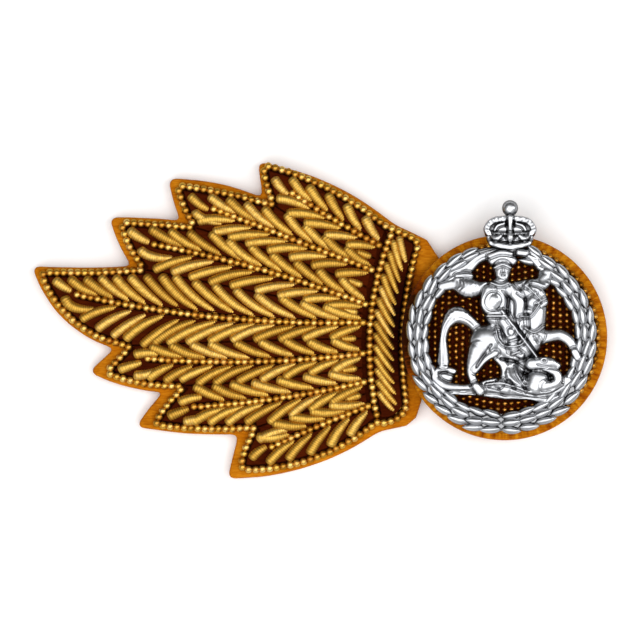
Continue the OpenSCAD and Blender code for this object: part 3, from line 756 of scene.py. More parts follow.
gilt_wire = metal_material(
    "gilt_wire", [(0.0, 0.17, 0.068, 0.006), (0.35, 0.47, 0.255, 0.037),
                  (0.75, 0.66, 0.415, 0.080), (1.0, 0.72, 0.475, 0.16)],
    dull=(0.34, 0.16, 0.02), amount=0.75, grain=2.4, roughness=(0.46, 0.58), scratch_mm=0.004)
gilt_beads = metal_material(
    "gilt_beads", [(0.0, 0.10, 0.03, 0.004), (0.1, 0.36, 0.165, 0.02),
                   (0.5, 0.62, 0.36, 0.06), (1.0, 0.76, 0.51, 0.15)],
    dull=(0.50, 0.17, 0.02), amount=0.6, grain=0.8, roughness=(0.34, 0.5), scratch_mm=0.003)
worn_beads = metal_material(
    "worn_beads", [(0.0, 0.06, 0.02, 0.003), (0.5, 0.44, 0.19, 0.022), (1.0, 0.66, 0.35, 0.07)],
    dull=(0.28, 0.09, 0.01), amount=0.6, grain=0.8, roughness=(0.38, 0.5), scratch_mm=0.003)
# Dark colour and heavy dull spots: painted shade under the emblem
shade_darkened_beads = metal_material(
    "shade_darkened_beads", [(0.0, 0.12, 0.035, 0.004), (0.5, 0.38, 0.15, 0.018), (1.0, 0.58, 0.28, 0.06)],
    dull=(0.07, 0.02, 0.004), amount=0.9, grain=0.9, roughness=(0.30, 0.55), scratch_mm=0.003)
silver = metal_material(
    "silver", [(0.0, 0.13, 0.13, 0.135), (0.25, 0.35, 0.355, 0.365),
               (0.5, 0.50, 0.51, 0.53), (1.0, 0.60, 0.61, 0.63)],
    dull=(0.36, 0.36, 0.38), amount=0.35, grain=0.5, roughness=(0.28, 0.40), scratch_mm=0.001)
print("metals:", [metal.name for metal in (gilt_wire, gilt_beads, worn_beads, shade_darkened_beads, silver)])

# %% [markdown]
# Pearl purl looks like a string of gold beads, but it is one wire: a stiff wire is shaped to
# half-round domes and then coiled, so each turn bulges like a bead and leans a little, because
# it belongs to a helix. A real helix would need far more faces than it shows. Leaning, slightly
# flattened balls on a thin core give the same picture, and a seeded jitter of a few percent
# keeps the row from looking printed.

# %% Balls and tubes
def ball(sides, rings):
    """Points and faces of a ball of radius 1, in rings from its pole at -X to the one at +X."""
    polar = np.linspace(math.pi, 0, rings + 1)[1:-1]
    around = np.arange(sides) * 2 * math.pi / sides
    p, a = np.meshgrid(polar, around, indexing="ij")
    points = np.stack([np.cos(p), np.sin(p) * np.cos(a), np.sin(p) * np.sin(a)], -1).reshape(-1, 3)
    return np.concatenate([points, [[-1, 0, 0], [1, 0, 0]]]), poled_faces(rings - 1, sides)


def tube(path, radii, sides):
    """A closed tube round a path in space. radii has a row for each point of the path."""
    ahead = unit(np.gradient(path, axis=0))
    side = unit(np.cross((0, 0, 1.0), ahead))[:, None]
    up = np.cross(ahead, side[:, 0])[:, None]
    around = (np.arange(sides) * 2 * math.pi / sides)[:, None]
    radii = np.broadcast_to(radii, (len(path), sides))[..., None]
    rings = path[:, None] + radii * (np.cos(around) * side + np.sin(around) * up)
    points = np.concatenate([rings.reshape(-1, 3), path[:1], path[-1:]])
    return points, poled_faces(len(path), sides)


BALL = ball(12, 9)
SMALL_BALL = ball(8, 6)
print("faces of a bead:", len(BALL[1]), "of a small one:", len(SMALL_BALL[1]))

# %% Strings of beads
BEAD_PITCH = 0.96
BEAD_LEAN = 24
BEAD_FLAT = 0.97
BEAD_PLUMP = 1.28
RING_PLUMP = 1.05
RING_STEP = 1.5
BEAD_SIZES = (0.96, 1.02)
BEAD_TONES = (0.15, 1.0)
BEAD_JITTER = 0.02
CORNER_SHADE_TONE = 0.3
LOOK_AHEAD = 0.1
CORE_R = 0.4
CORE_DROP = 0.3
CORE_SIDES = 6
bead_rng = np.random.default_rng(11)


def add_bead(heap, place, ahead, radius, template=BALL, lean=BEAD_LEAN, flat=BEAD_FLAT, bright=1.0):
    """One bead at a place in space, with its wire running in direction ahead."""
    angle = math.atan2(ahead[1], ahead[0]) + math.radians(lean)
    c, s = math.cos(angle), math.sin(angle)
    size = radius * bead_rng.uniform(*BEAD_SIZES)
    points = template[0] * (size * flat, size, size)
    points = points @ np.array([[c, s, 0], [-s, c, 0], [0, 0, 1]]) + place
    heap.add(points, template[1], bright * bead_rng.uniform(*BEAD_TONES))


def bead_string(path, z, closed=False, plump=BEAD_PLUMP):
    """A heap with beads along a flat path, and a thin core between them."""
    heap = Heap()
    line = np.concatenate([path, path[:1]]) if closed else path
    total = lengths(line)[-1]
    count = round(total / BEAD_PITCH)
    places = np.arange(count if closed else count + 1) * total / count
    ahead = unit(at(line, np.minimum(places + LOOK_AHEAD, total))
                 - at(line, np.maximum(places - LOOK_AHEAD, 0)))
    for spot, way in zip(at(line, places), ahead):
        jitter = bead_rng.normal(0, BEAD_JITTER, 2)
        # Beads in the corner get a lower tone: painted shade from the patch
        away = math.hypot(spot[0] - SHADED_CORNER[0], (spot[1] - SHADED_CORNER[1]) * CORNER_SQUEEZE)
        corner_light = np.interp(away, (CORNER_DARK_R, CORNER_UNSHADED_R), (CORNER_SHADE_TONE, 1))
        add_bead(heap, (*(spot + jitter), z), way, bead_r * plump, bright=corner_light)
    core = at(line, np.linspace(0, total, max(4, count)))
    core = np.column_stack([core, np.full(len(core), z - bead_r * CORE_DROP)])
    # The core gets tone 0, the darkest colour: painted shade in the gaps between the beads
    heap.add(*tube(core, bead_r * CORE_R, CORE_SIDES), 0.0)
    return heap


make_piece("wing_beads", bead_string(bead_path, bead_z, closed=True), gilt_beads,
           ["wing_edging"])
make_piece("cuff_beads", bead_string(arc(*CUFF_LEFT), bead_z), gilt_beads,
           ["cuff_edging"])
for k, path in enumerate(spines):
    make_piece(f"spine_beads_{k + 1}", bead_string(path, bead_z), gilt_beads,
               [f"spine_{k + 1}"])
ring_path = on_circle(ring_r, np.radians(np.arange(0, 360, RING_STEP)))
make_piece("patch_beads", bead_string(ring_path, ring_z, closed=True, plump=RING_PLUMP), worn_beads,
           ["disc_edging"])

# %% [markdown]
# A barb is smooth purl: fine wire coiled tight like a spring, cut to length and sewn down over
# the pad like a long bead. Cut coils bend, so each barb is a bowed path. Its outer end is blunt
# and rounded, and its root narrows and dives under the next barb. The turns of the coil are
# true geometry: the radius of the tube swells and shrinks once for each turn of the wire, and
# the swelling winds round the tube as a helix. A bump map would miss the glitter at the edge.

# %% One barb
COIL_PITCH = 0.30
COIL_DEPTH = 0.05
COIL_SHADE = 0.5
COIL_MEAN = 0.64
COIL_FULL_R = 0.3
RINGS_PER_TURN = 4
BARB_SIDES = 12
BARB_R = 0.75
BARB_SIZES = (0.93, 1.03)
BARB_TONES = (0.55, 1.0)
BARB_LIFT_JITTER = 0.015
BARB_STEPS = 40
BLUNT_END = 0.6
ROOT_END = 0.35
END_DROP = 0.22
END_DROP_LONG = 0.9
DIVE_FROM = 0.62
PLUMPEST = 0.3
SLIMMEST = 1.15
CUT_TONE = 0.3
BOW_SPREAD = (0.6, 1.3)
barb_axis_z = barb_top - BARB_R
barb_rng = np.random.default_rng(23)


def ease(t, start, end):
    x = np.clip((t - start) / (end - start), 0, 1)
    return x * x * (3 - 2 * x)


def round_end(away, long):
    """Share of the radius at this distance from a rounded end."""
    return np.sqrt(np.clip(1 - (1 - np.clip(away / long, 0, 1)) ** 2, 0.02, 1))


def bowed(outer, root, toward, bow):
    """Outer end, middle and root of a barb that bows towards the spine."""
    across = left_of(unit(root - outer))
    across = across if across @ toward > 0 else -across
    sag = np.linalg.norm(root - outer) * bow * barb_rng.uniform(*BOW_SPREAD)
    return outer, (outer + root) / 2 + across * sag, root


def add_barb(heap, outer, middle, root, taper=0.45, dive=0.34, thick=1.0):
    """A barb through three places, from its blunt outer end to its root under the next barb."""
    outer, middle, root = (np.asarray(p, float) for p in (outer, middle, root))
    line = bend(outer, 2 * middle - (outer + root) / 2, root, BARB_STEPS)
    long = lengths(line)[-1]
    t = np.linspace(0, 1, max(12, round(long / COIL_PITCH * RINGS_PER_TURN)) + 1)
    s = t * long
    z = (barb_axis_z - dive * ease(t, DIVE_FROM, 1.0) - END_DROP * (1 - ease(s, 0, END_DROP_LONG))
         + barb_rng.normal(0, BARB_LIFT_JITTER))
    radii = (BARB_R * thick * barb_rng.uniform(*BARB_SIZES) * round_end(s, BLUNT_END)
             * round_end(long - s, ROOT_END) * (1 - taper * ease(t, PLUMPEST, SLIMMEST)))[:, None]
    around = np.arange(BARB_SIDES) * 2 * math.pi / BARB_SIDES
    wind = np.abs(np.cos(math.pi * s[:, None] / COIL_PITCH - around / 2))
    ridged = radii + COIL_DEPTH * (wind - COIL_MEAN) * np.minimum(1, radii / COIL_FULL_R)
    # The tone dips in the grooves between the turns: painted shade
    tone = np.clip(barb_rng.uniform(*BARB_TONES) - COIL_SHADE * (1 - wind), 0, 1)
    heap.add(*tube(np.column_stack([at(line, s), z]), ridged, BARB_SIDES),
             np.concatenate([tone.ravel(), [CUT_TONE] * 2]))


print("barb axis at", round(barb_axis_z, 2), "mm")

# %% [markdown]
# The barbs of a feather lie in two rows, one above the spine and one below. A row walks along
# the spine with even steps, and each barb runs back towards the tip until it meets the bead
# line or the seam. The embroiderer cuts the purl to a length and lays it at the slant at which
# it just reaches, so the table holds lengths, and the slant follows from the room there is.

# %% Tables of the barbs
# Columns: length of the barbs at the tip, in the middle and at the cuff, place of the first
# barb, and distance apart at the tip and at the cuff
UPPER_BARBS = [
    (4.4, 4.8, 4.1, 3.0, 2.7, 3.2), (4.6, 5.8, 4.8, 3.3, 3.4, 3.6), (5.3, 6.2, 4.8, 4.0, 3.3, 3.7),
    (4.8, 8.0, 5.5, 3.0, 2.5, 3.6), (4.8, 6.2, 4.4, 5.0, 3.8, 3.7), (4.6, 6.0, 4.8, 4.5, 3.4, 3.9),
    (4.6, 5.1, 5.1, 3.0, 3.2, 3.7),
]
LOWER_BARBS = [
    (4.6, 5.8, 4.4, 3.3, 3.1, 3.7), (5.3, 6.2, 4.9, 3.5, 3.0, 3.9), (5.9, 6.9, 5.1, 5.9, 3.3, 3.9),
    (5.3, 7.8, 4.9, 6.0, 2.3, 3.7), (4.2, 6.2, 4.4, 3.8, 3.2, 3.7), (5.1, 6.2, 5.3, 4.5, 3.0, 3.5),
    (4.8, 5.5, 4.6, 3.3, 3.1, 3.0),
]
# The barbs that fill each tip curve round the end of the spine. Columns: outer end, middle, root
TIP_BARBS = [
    [((-31.7, 22.1), (-30.8, 20.7), (-29.6, 19.5))],
    [((-43.3, 19.7), (-42.0, 18.4), (-40.5, 17.5)), ((-42.6, 17.6), (-41.4, 16.4), (-38.6, 15.7))],
    [((-51.7, 14.9), (-50.2, 13.8), (-48.6, 13.0)), ((-50.1, 12.4), (-48.6, 11.2), (-45.4, 10.9))],
    [((-61.9, 8.1), (-60.7, 7.1), (-59.3, 6.3)), ((-60.4, 5.8), (-59.2, 4.2), (-56.2, 3.9))],
    [((-53.1, -4.5), (-51.4, -3.9), (-49.7, -3.4)), ((-51.0, -2.4), (-49.0, -2.1), (-47.4, -2.3)),
     ((-51.0, -5.1), (-49.4, -5.1), (-47.6, -4.4))],
    [((-46.3, -10.9), (-44.8, -10.3), (-43.2, -9.7)), ((-44.8, -9.1), (-43.2, -8.4), (-41.4, -8.2)),
     ((-44.2, -11.5), (-42.6, -11.3), (-40.8, -10.7))],
    [((-34.9, -16.8), (-33.8, -15.7), (-32.5, -14.9)), ((-34.0, -14.2), (-31.8, -13.1), (-29.6, -12.6))],
]
print("rows of barbs:", len(UPPER_BARBS) + len(LOWER_BARBS), "barbs at tips:", sum(map(len, TIP_BARBS)))

# %% Rows of barbs
SLANTS = range(9, 46)
SLANT_JITTER = 0.8
ROOT_OFF = bead_r + 0.18
EDGE_OFF = bead_r + 0.12
CUFF_OFF = 0.1
CLOSENESS = 0.92
LENGTH_PLACES = (0.1, 0.5, 1.0)
OVER_LENGTH = 1.15
ROW_BOW = 0.06
ROW_LOOK = 0.2
SHORTEST_BARB = 1.8
LONGEST_BARB = 9.0


def reach(start, way, path):
    """Distance from start in direction way to the first crossing with the path."""
    a, w = path[:-1], np.diff(path, axis=0)
    gap = a - start
    cross = way[0] * w[:, 1] - way[1] * w[:, 0]
    cross = np.where(np.abs(cross) < 1e-9, 1e-9, cross)
    far = (gap[:, 0] * w[:, 1] - gap[:, 1] * w[:, 0]) / cross
    share = (gap[:, 0] * way[1] - gap[:, 1] * way[0]) / cross
    hits = far[(share >= 0) & (share <= 1) & (far > 0)]
    return hits.min() if len(hits) else LONGEST_BARB


def row_places(row, total):
    """Distances along a spine of this length at which the barbs of a row start."""
    first, last = row[3], total - CUFF_OFF
    places = [first]
    while places[-1] < last:
        places.append(places[-1] + CLOSENESS * np.interp(places[-1] / total, (0, 1), row[4:]))
    return first + (np.array(places) - first) * (last - first) / (places[-1] - first)


def barb_row(heap, k, side, row):
    """The row above the spine of feather k if side is 1, or the row below it if side is -1."""
    limits = [moved_left(edge_stretches[2 * k + (side < 0)], EDGE_OFF)]
    neighbour = k - 1 if side > 0 else k
    if 0 <= neighbour < FEATHERS - 1:
        limits.append(seams[neighbour])
    spine = spines[k]
    total = lengths(spine)[-1]
    count = 0
    for s in row_places(row, total):
        ahead = unit(at(spine, min(s + ROW_LOOK, total)) - at(spine, s - ROW_LOOK))
        start = at(spine, s) + left_of(ahead) * ROOT_OFF * side
        wanted = np.interp(s / total, LENGTH_PLACES, row[:3])
        far = [min(reach(start, turned(-ahead, -side * slant), path) for path in limits)
               for slant in SLANTS]
        best = int(np.argmin(np.abs(np.array(far) - wanted)))
        if far[best] > SHORTEST_BARB:
            way = turned(-ahead, -side * (SLANTS[best] + barb_rng.normal(0, SLANT_JITTER)))
            outer = start + way * min(far[best], wanted * OVER_LENGTH)
            add_barb(heap, *bowed(outer, start, -left_of(ahead) * side, ROW_BOW))
            count += 1
    return count


# %% Barbs of the feathers
STUB_OFF = 0.6
STUB_LONG = 2.8
STUB_THICK = 0.72


def add_stub(heap, seam):
    """A short piece of wire that fills the gap between two feathers at the cuff."""
    end = lengths(seam)[-1] - STUB_OFF
    places = [at(seam, end - share * STUB_LONG) for share in (0, 0.5, 1)]
    add_barb(heap, *places, taper=0.5, dive=0.5, thick=STUB_THICK)


for k in range(FEATHERS):
    heap = Heap()
    rows = [barb_row(heap, k, 1, UPPER_BARBS[k]), barb_row(heap, k, -1, LOWER_BARBS[k])]
    for points in TIP_BARBS[k]:
        add_barb(heap, *points, taper=0.35, dive=0.2)
    if k < FEATHERS - 1:
        add_stub(heap, seams[k])
    make_piece(f"barbs_{k + 1}", heap, gilt_wire, [f"feather_{k + 1}"])
    print("barbs above and below:", rows)

# %% [markdown]
# The cuff is a band across the roots of the feathers. Its barbs are steep at the top and lean
# over further down, so the slant is read from a short table by the place along the band.

# %% Barbs of the cuff
CUFF_PLACES = [0.0, 0.25, 0.5, 1.0]
CUFF_SLANTS = [76, 68, 57, 50]
CUFF_BARB_PITCH = 1.55
CUFF_BARB_LONG = 5.6
CUFF_BARB_OFF = 0.45
CUFF_THICK = 0.72
CUFF_BOW = 0.04
CUFF_START = 0.7
cuff_left_edge = moved_left(arc(*CUFF_LEFT), CUFF_BARB_OFF)
cuff_right_edge = moved_left(arc(*CUFF_RIGHT)[::-1], CUFF_BARB_OFF)[::-1]
cuff_ends = [moved_left(arc(*points), -CUFF_BARB_OFF) for points in (CUFF_TOP, CUFF_BOTTOM)]
left_long, right_long = (lengths(edge)[-1] for edge in (cuff_left_edge, cuff_right_edge))
cuff_count = round((left_long + right_long) / 2 / CUFF_BARB_PITCH)
heap = Heap()
for share in (np.arange(cuff_count) + CUFF_START) / cuff_count:
    middle = (at(cuff_left_edge, share * left_long) + at(cuff_right_edge, share * right_long)) / 2
    slant = math.radians(np.interp(share, CUFF_PLACES, CUFF_SLANTS))
    way = np.array([-math.cos(slant), math.sin(slant)])
    up, down = (min(reach(middle, way * sign, edge), reach(middle, way * sign, end), CUFF_BARB_LONG / 2)
                for sign, edge, end in zip((1, -1), (cuff_left_edge, cuff_right_edge), cuff_ends))
    if up + down > SHORTEST_BARB:
        add_barb(heap, *bowed(middle + way * up, middle - way * down, np.array([-1.0, 0]), CUFF_BOW),
                 thick=CUFF_THICK)
make_piece("cuff_barbs", heap, gilt_wire, ["cuff"])

# %% [markdown]
# Under the pierced emblem the patch is filled with columns of small beads on a cloth. Beads and
# cloth are coloured dark as painted shade from the emblem over them. They show only through the
# openings of the emblem. A loop over a grid sets them, and those outside the ring are left out.

# %% The bead field
FIELD_COLUMN = 0.95
FIELD_STEP = 0.84
FIELD_BEAD_R = 0.41
FIELD_JITTER = 0.03
FIELD_SINK = 0.02
FIELD_RIM = 0.6
FIELD_FLAT = 0.95
FIELD_PLAY = 0.05
DISC_STEP = 3
CLOTH_BELOW = 0.62
field_disc = on_circle(field_r - FIELD_PLAY, np.radians(np.arange(0, 360, DISC_STEP)))
field_form = slab(field_disc, [(0, low("disc_field")), (0, field_top - CLOTH_BELOW)])
field_cloth = make_piece("field_cloth", Heap(field_form), painted_shade_cloth, ["disc_field"])
heap = Heap()
columns_a_side = int(field_r / FIELD_COLUMN)
for column in range(-columns_a_side, columns_a_side + 1):
    x = column * FIELD_COLUMN
    half = math.sqrt(max(0.0, (field_r - FIELD_RIM) ** 2 - x * x))
    for y in np.arange(-half, half, FIELD_STEP):
        spot = (x + bead_rng.normal(0, FIELD_JITTER), y + bead_rng.normal(0, FIELD_JITTER),
                field_top - FIELD_BEAD_R - FIELD_SINK)
        add_bead(heap, spot, (0, 1), FIELD_BEAD_R, SMALL_BALL, flat=FIELD_FLAT)
make_piece("field_beads", heap, shade_darkened_beads, ["disc_field"])

# %% [markdown]
# The emblem is struck in metal and pierced: a rider over a dragon inside a laurel wreath, with
# a crown on top. A struck relief is a height over every point of the plate, so it is built the
# same way. Each limb is a chain of round places with a radius and a height. The later chains
# lie over the earlier ones.

# %% The figures of the relief
# Each figure is a chain of rows. Columns: x, y, radius, height over the emblem's back
FIGURES = {
    "ground_strip": [(-8.2, -7.2, 0.6, 1.2), (-4.0, -7.4, 0.6, 1.3), (0.0, -7.8, 0.7, 1.3),
                     (3.6, -7.8, 0.8, 1.3), (6.4, -8.2, 1.5, 1.2)],
    "wreath_ties": [(-6.9, 8.6, 1.0, 1.4), (-5.3, 9.4, 1.0, 1.5), (-3.2, 10.95, 0.65, 1.6),
                    (0.0, 11.6, 0.8, 1.8), (2.8, 11.6, 0.7, 1.6), (5.3, 9.8, 1.1, 1.4)],
    "cloak_fold": [(-6.3, 8.1, 0.8, 1.8), (-5.0, 8.3, 0.8, 1.9)],
    "tail_web": [(-7.8, -5.4, 0.8, 1.0), (-9.2, -5.0, 0.8, 1.0)],
    "dragon_tail": [(-3.4, -6.8, 0.6, 1.7), (-6.2, -6.9, 0.6, 1.6), (-8.5, -6.5, 0.6, 1.5),
                    (-9.6, -5.2, 0.55, 1.4), (-8.6, -4.2, 0.5, 1.4), (-7.0, -4.6, 0.45, 1.5)],
    "belly_shade": [(-0.3, -3.2, 1.0, 1.3), (1.6, -3.6, 1.5, 1.3), (3.4, -3.4, 1.3, 1.3)],
    "dragon_coil": [(-3.0, -6.7, 0.8, 1.7), (-1.4, -6.5, 1.05, 2.0), (0.2, -6.8, 1.0, 1.9)],
    "dragon_body": [(0.2, -6.9, 1.0, 1.8), (2.2, -6.6, 1.4, 2.0), (4.4, -6.6, 1.6, 2.1),
                    (6.4, -6.5, 1.4, 1.9), (8.3, -6.0, 1.0, 1.5)],
    "dragon_wing": [(2.2, -6.2, 1.1, 2.3), (0.9, -5.2, 1.2, 2.3), (0.8, -4.1, 1.0, 2.0)],
    "dragon_shoulder": [(4.2, -6.5, 1.4, 2.5), (4.5, -5.7, 1.5, 2.5)],
    "dragon_neck": [(5.4, -6.6, 0.7, 2.3), (7.1, -6.1, 0.65, 2.2), (7.0, -4.8, 0.65, 2.2),
                    (5.6, -4.1, 0.7, 2.2)],
    "dragon_head": [(3.6, -3.6, 0.9, 2.3), (5.8, -3.4, 0.8, 2.4), (7.2, -3.8, 0.5, 2.0)],
    "horse_tail": [(-3.6, 1.0, 0.8, 2.0), (-4.9, 2.3, 0.85, 2.0), (-6.6, 3.1, 1.25, 2.3),
                   (-7.9, 1.9, 0.75, 1.9), (-8.4, 0.0, 0.55, 1.7), (-8.4, -1.8, 0.75, 1.6),
                   (-8.4, -3.3, 0.9, 1.4)],
    "rear_leg_far": [(-1.3, -2.4, 0.7, 2.0), (-0.2, -3.8, 0.6, 1.9), (-0.1, -5.3, 0.55, 1.8),
                     (-0.8, -6.4, 0.5, 1.8)],
    "cloak": [(-2.4, 6.8, 0.9, 2.3), (-3.6, 6.7, 1.0, 2.0), (-5.1, 6.8, 1.4, 2.5),
              (-6.8, 7.3, 0.9, 1.7), (-8.6, 7.0, 0.7, 1.4)],
    "front_leg": [(3.9, 0.0, 1.4, 2.1), (6.0, 0.2, 0.9, 2.2), (7.6, 0.3, 0.85, 1.9),
                  (8.9, -0.6, 0.75, 1.7), (9.8, -2.4, 0.55, 1.5)],
    "saddle": [(1.6, 5.6, 1.5, 2.1), (1.8, 3.4, 1.5, 2.2), (1.6, 1.2, 1.5, 2.2)],
    "saddle_back": [(-1.6, 1.6, 0.9, 2.2), (0.0, 1.2, 1.0, 2.2)],
    "mane": [(1.5, 6.8, 0.9, 2.4), (3.2, 7.0, 1.0, 2.5), (5.0, 7.3, 1.0, 2.2), (5.6, 8.7, 1.1, 1.6)],
    "horse_neck": [(3.6, 0.6, 1.9, 2.5), (3.9, 2.8, 1.8, 2.6), (3.9, 4.8, 1.9, 2.6)],
    "horse_head": [(3.0, 6.3, 1.0, 2.7), (4.5, 6.0, 0.95, 2.75), (5.3, 4.8, 0.65, 2.4)],
    "horse_cheek": [(3.7, 4.8, 0.85, 2.85), (3.9, 5.0, 0.85, 2.85)],
    "horse_rump": [(-2.6, -0.5, 2.3, 2.7), (-2.3, -0.4, 2.2, 2.7)],
    "horse_flank": [(-0.6, -0.9, 1.7, 2.3), (1.4, -1.5, 1.8, 2.3), (3.4, -0.8, 1.6, 2.3)],
    "rear_leg": [(-3.7, -1.8, 1.4, 2.5), (-4.6, -4.3, 0.75, 2.1), (-4.3, -5.9, 0.6, 1.9),
                 (-3.5, -7.2, 0.6, 1.8)],
    "rear_leg_near": [(-1.3, -2.1, 0.5, 2.4), (-2.7, -3.0, 0.45, 2.2), (-4.1, -4.5, 0.5, 2.1)],
    "rider_crest": [(-1.6, 10.6, 0.8, 2.3), (-0.3, 11.1, 1.0, 2.5), (1.0, 10.5, 0.7, 2.2)],
    "rider_head": [(-0.4, 8.1, 0.9, 2.6), (-0.35, 9.3, 1.25, 2.8)],
    "far_arm": [(0.6, 6.7, 0.9, 2.8), (1.9, 5.2, 0.8, 2.8), (1.9, 3.2, 0.7, 2.7)],
    "rider_body": [(-1.2, 3.0, 1.5, 2.6), (-1.5, 5.0, 1.9, 2.75), (-0.9, 6.5, 1.6, 2.7)],
    "rider_leg": [(0.0, 2.4, 1.1, 2.8), (0.9, 0.5, 0.9, 2.8), (1.2, -1.6, 0.6, 2.6),
                  (2.2, -2.4, 0.5, 2.4)],
    "near_arm": [(-2.2, 6.4, 0.9, 2.8), (-2.7, 4.6, 0.75, 2.85), (-1.6, 3.3, 0.6, 2.85),
                 (-0.3, 3.4, 0.5, 2.85)],
    "lance": [(-0.5, 3.7, 0.24, 3.0), (4.3, -2.6, 0.24, 2.8)],
}
print("chains:", len(FIGURES))

# %% Straps, grooves and fine lines
# Thin raised straps and features on the figures, with the same columns
STRAPS = {
    "knot": [(1.9, 11.65, 0.5, 2.5), (2.8, 11.55, 0.5, 2.4)],
    "crest_rim": [(-2.2, 11.1, 0.3, 2.3), (-0.6, 11.65, 0.34, 2.6), (0.9, 11.45, 0.3, 2.4)],
    "helmet_rim": [(-1.55, 9.5, 0.2, 2.7), (-0.35, 10.0, 0.24, 2.95), (0.85, 9.5, 0.2, 2.7)],
    "nose": [(-0.3, 9.5, 0.13, 2.95), (-0.28, 9.0, 0.19, 2.95)],
    "mouth": [(-0.5, 8.55, 0.1, 2.95), (-0.08, 8.55, 0.1, 2.95)],
    "collar": [(-2.0, 7.5, 0.2, 2.8), (-0.6, 7.1, 0.22, 2.95), (0.5, 7.5, 0.2, 2.8)],
    "belt": [(-2.5, 2.95, 0.2, 2.9), (-1.2, 2.95, 0.22, 2.95), (0.1, 2.95, 0.2, 2.95)],
    "breast_plate": [(-1.7, 4.9, 1.15, 2.95), (-1.6, 5.1, 1.15, 2.95)],
    "knee": [(0.75, 0.9, 0.5, 2.95), (0.8, 0.7, 0.5, 2.95)],
    "boot_top": [(0.6, -0.5, 0.18, 2.95), (1.6, -0.2, 0.18, 2.95)],
    "stirrup": [(0.9, -2.3, 0.2, 2.7), (2.0, -1.9, 0.2, 2.8)],
    "cloth_rim": [(-1.3, 1.2, 0.16, 2.6), (-0.9, -0.3, 0.16, 2.8), (0.2, -1.2, 0.16, 2.7),
                  (2.3, -0.9, 0.16, 2.7), (3.0, 0.6, 0.16, 2.8)],
    "breast_strap": [(2.6, 1.4, 0.17, 2.9), (4.0, 0.7, 0.17, 2.9), (5.3, 1.5, 0.17, 2.5)],
    "ear": [(2.9, 7.1, 0.36, 2.95), (3.3, 7.7, 0.2, 2.5)],
    "horse_eye": [(4.1, 6.2, 0.18, 2.95), (4.2, 6.15, 0.18, 2.95)],
    "cheek_strap": [(3.1, 6.9, 0.14, 2.95), (4.8, 5.2, 0.14, 2.95)],
    "nose_strap": [(4.2, 4.6, 0.14, 2.9), (5.6, 5.4, 0.14, 2.8)],
    "rein": [(4.7, 4.6, 0.13, 2.9), (3.4, 2.95, 0.13, 2.95), (2.0, 2.95, 0.13, 2.95)],
    "dragon_eye": [(5.3, -3.2, 0.16, 2.7), (5.4, -3.2, 0.16, 2.7)],
    "dragon_spine": [(-2.6, -6.4, 0.18, 2.2), (-0.6, -6.2, 0.2, 2.3), (1.6, -6.8, 0.2, 2.3),
                     (3.6, -7.5, 0.2, 2.1), (6.0, -7.4, 0.2, 2.0), (7.9, -6.4, 0.18, 1.8)],
    "wing_rib": [(2.6, -6.6, 0.18, 2.6), (1.6, -5.0, 0.18, 2.6), (1.3, -3.9, 0.15, 2.2)],
    "hoof_front": [(9.5, -1.9, 0.6, 1.8), (9.9, -2.7, 0.6, 1.7)],
    "hoof_rear": [(-4.0, -6.6, 0.62, 2.1), (-3.4, -7.3, 0.7, 2.0)],
    "hoof_far": [(-0.5, -6.0, 0.5, 2.1), (-0.9, -6.5, 0.55, 2.0)],
}
# Grooves cut into the figures. Columns: x, y, half width, depth
GROOVES = {
    "by_lance": [(0.0, 3.7, 0.16, 0.5), (4.5, -2.4, 0.16, 0.6)],
    "by_leg": [(1.3, 2.6, 0.16, 0.4), (1.9, 0.8, 0.16, 0.4)],
    "behind_leg": [(-0.6, 1.4, 0.2, 0.4), (-0.1, -0.6, 0.2, 0.5), (0.4, -2.2, 0.15, 0.4)],
    "thigh": [(-1.9, -1.0, 0.18, 0.5), (-2.9, -2.4, 0.18, 0.5), (-3.9, -4.0, 0.16, 0.5)],
    "under_belly": [(-0.6, -2.9, 0.2, 0.5), (1.2, -3.2, 0.2, 0.5), (2.8, -4.3, 0.2, 0.5)],
    "chest": [(3.0, 3.1, 0.35, 0.5), (3.2, 1.3, 0.3, 0.5)],
    "shoulder": [(3.9, 0.2, 0.18, 0.4), (4.5, -0.7, 0.16, 0.4)],
    "mane_low": [(1.6, 6.1, 0.16, 0.4), (2.7, 5.2, 0.16, 0.4), (2.9, 3.9, 0.16, 0.4)],
    "arm_fold": [(-0.4, 6.4, 0.16, 0.3), (0.4, 5.3, 0.18, 0.4), (0.3, 4.2, 0.16, 0.4)],
    "dragon_throat": [(2.9, -4.5, 0.2, 0.5), (2.3, -5.9, 0.2, 0.5), (2.9, -7.5, 0.2, 0.5)],
    "dragon_curl": [(4.1, -4.6, 0.22, 0.5), (5.8, -4.9, 0.22, 0.5), (6.2, -5.9, 0.2, 0.5)],
    "coil_dark": [(-2.2, -6.7, 0.3, 0.4), (-0.9, -7.0, 0.3, 0.4)],
    "wing_dark": [(0.6, -5.9, 0.25, 0.4), (1.3, -6.9, 0.3, 0.4)],
    "tail_under": [(-9.8, -6.2, 0.2, 0.4), (-8.3, -7.2, 0.2, 0.4), (-4.4, -7.3, 0.2, 0.4)],
    "tail_curl": [(-9.0, -4.8, 0.2, 0.4), (-7.9, -4.7, 0.2, 0.4)],
    "jaw": [(4.4, -3.7, 0.14, 0.4), (7.0, -4.2, 0.14, 0.4)],
}
# Fine lines cut into a figure. Columns: kind, lines per mm of length or lines across, depth
CHASING = {
    "horse_tail": ("strands", 2, 0.16),
    "mane": ("waves", 0.5, 0.14),
    "dragon_body": ("waves", 0.5, 0.12),
    "dragon_tail": ("ribs", 0.6, 0.08),
    "dragon_wing": ("strands", 2, 0.24),
    "wreath_ties": ("strands", 2, 0.14),
    "ground_strip": ("waves", 0.5, 0.10),
    "arch_left": ("ribs", 1.15, 0.13),
    "arch_right": ("ribs", 1.15, 0.13),
    "rim_low": ("ribs", 0.75, 0.07),
}
print("straps:", len(STRAPS), "grooves:", len(GROOVES))

# %% [markdown]
# A chain with few rows would show its corners, so more rows are put in on a smooth curve. A
# function then gives, for any point of the plate, the height of all the chains there and how
# far the point is inside the metal. Round each figure the ground is cut a little deeper, as an
# engraver does to set one form off from the next.

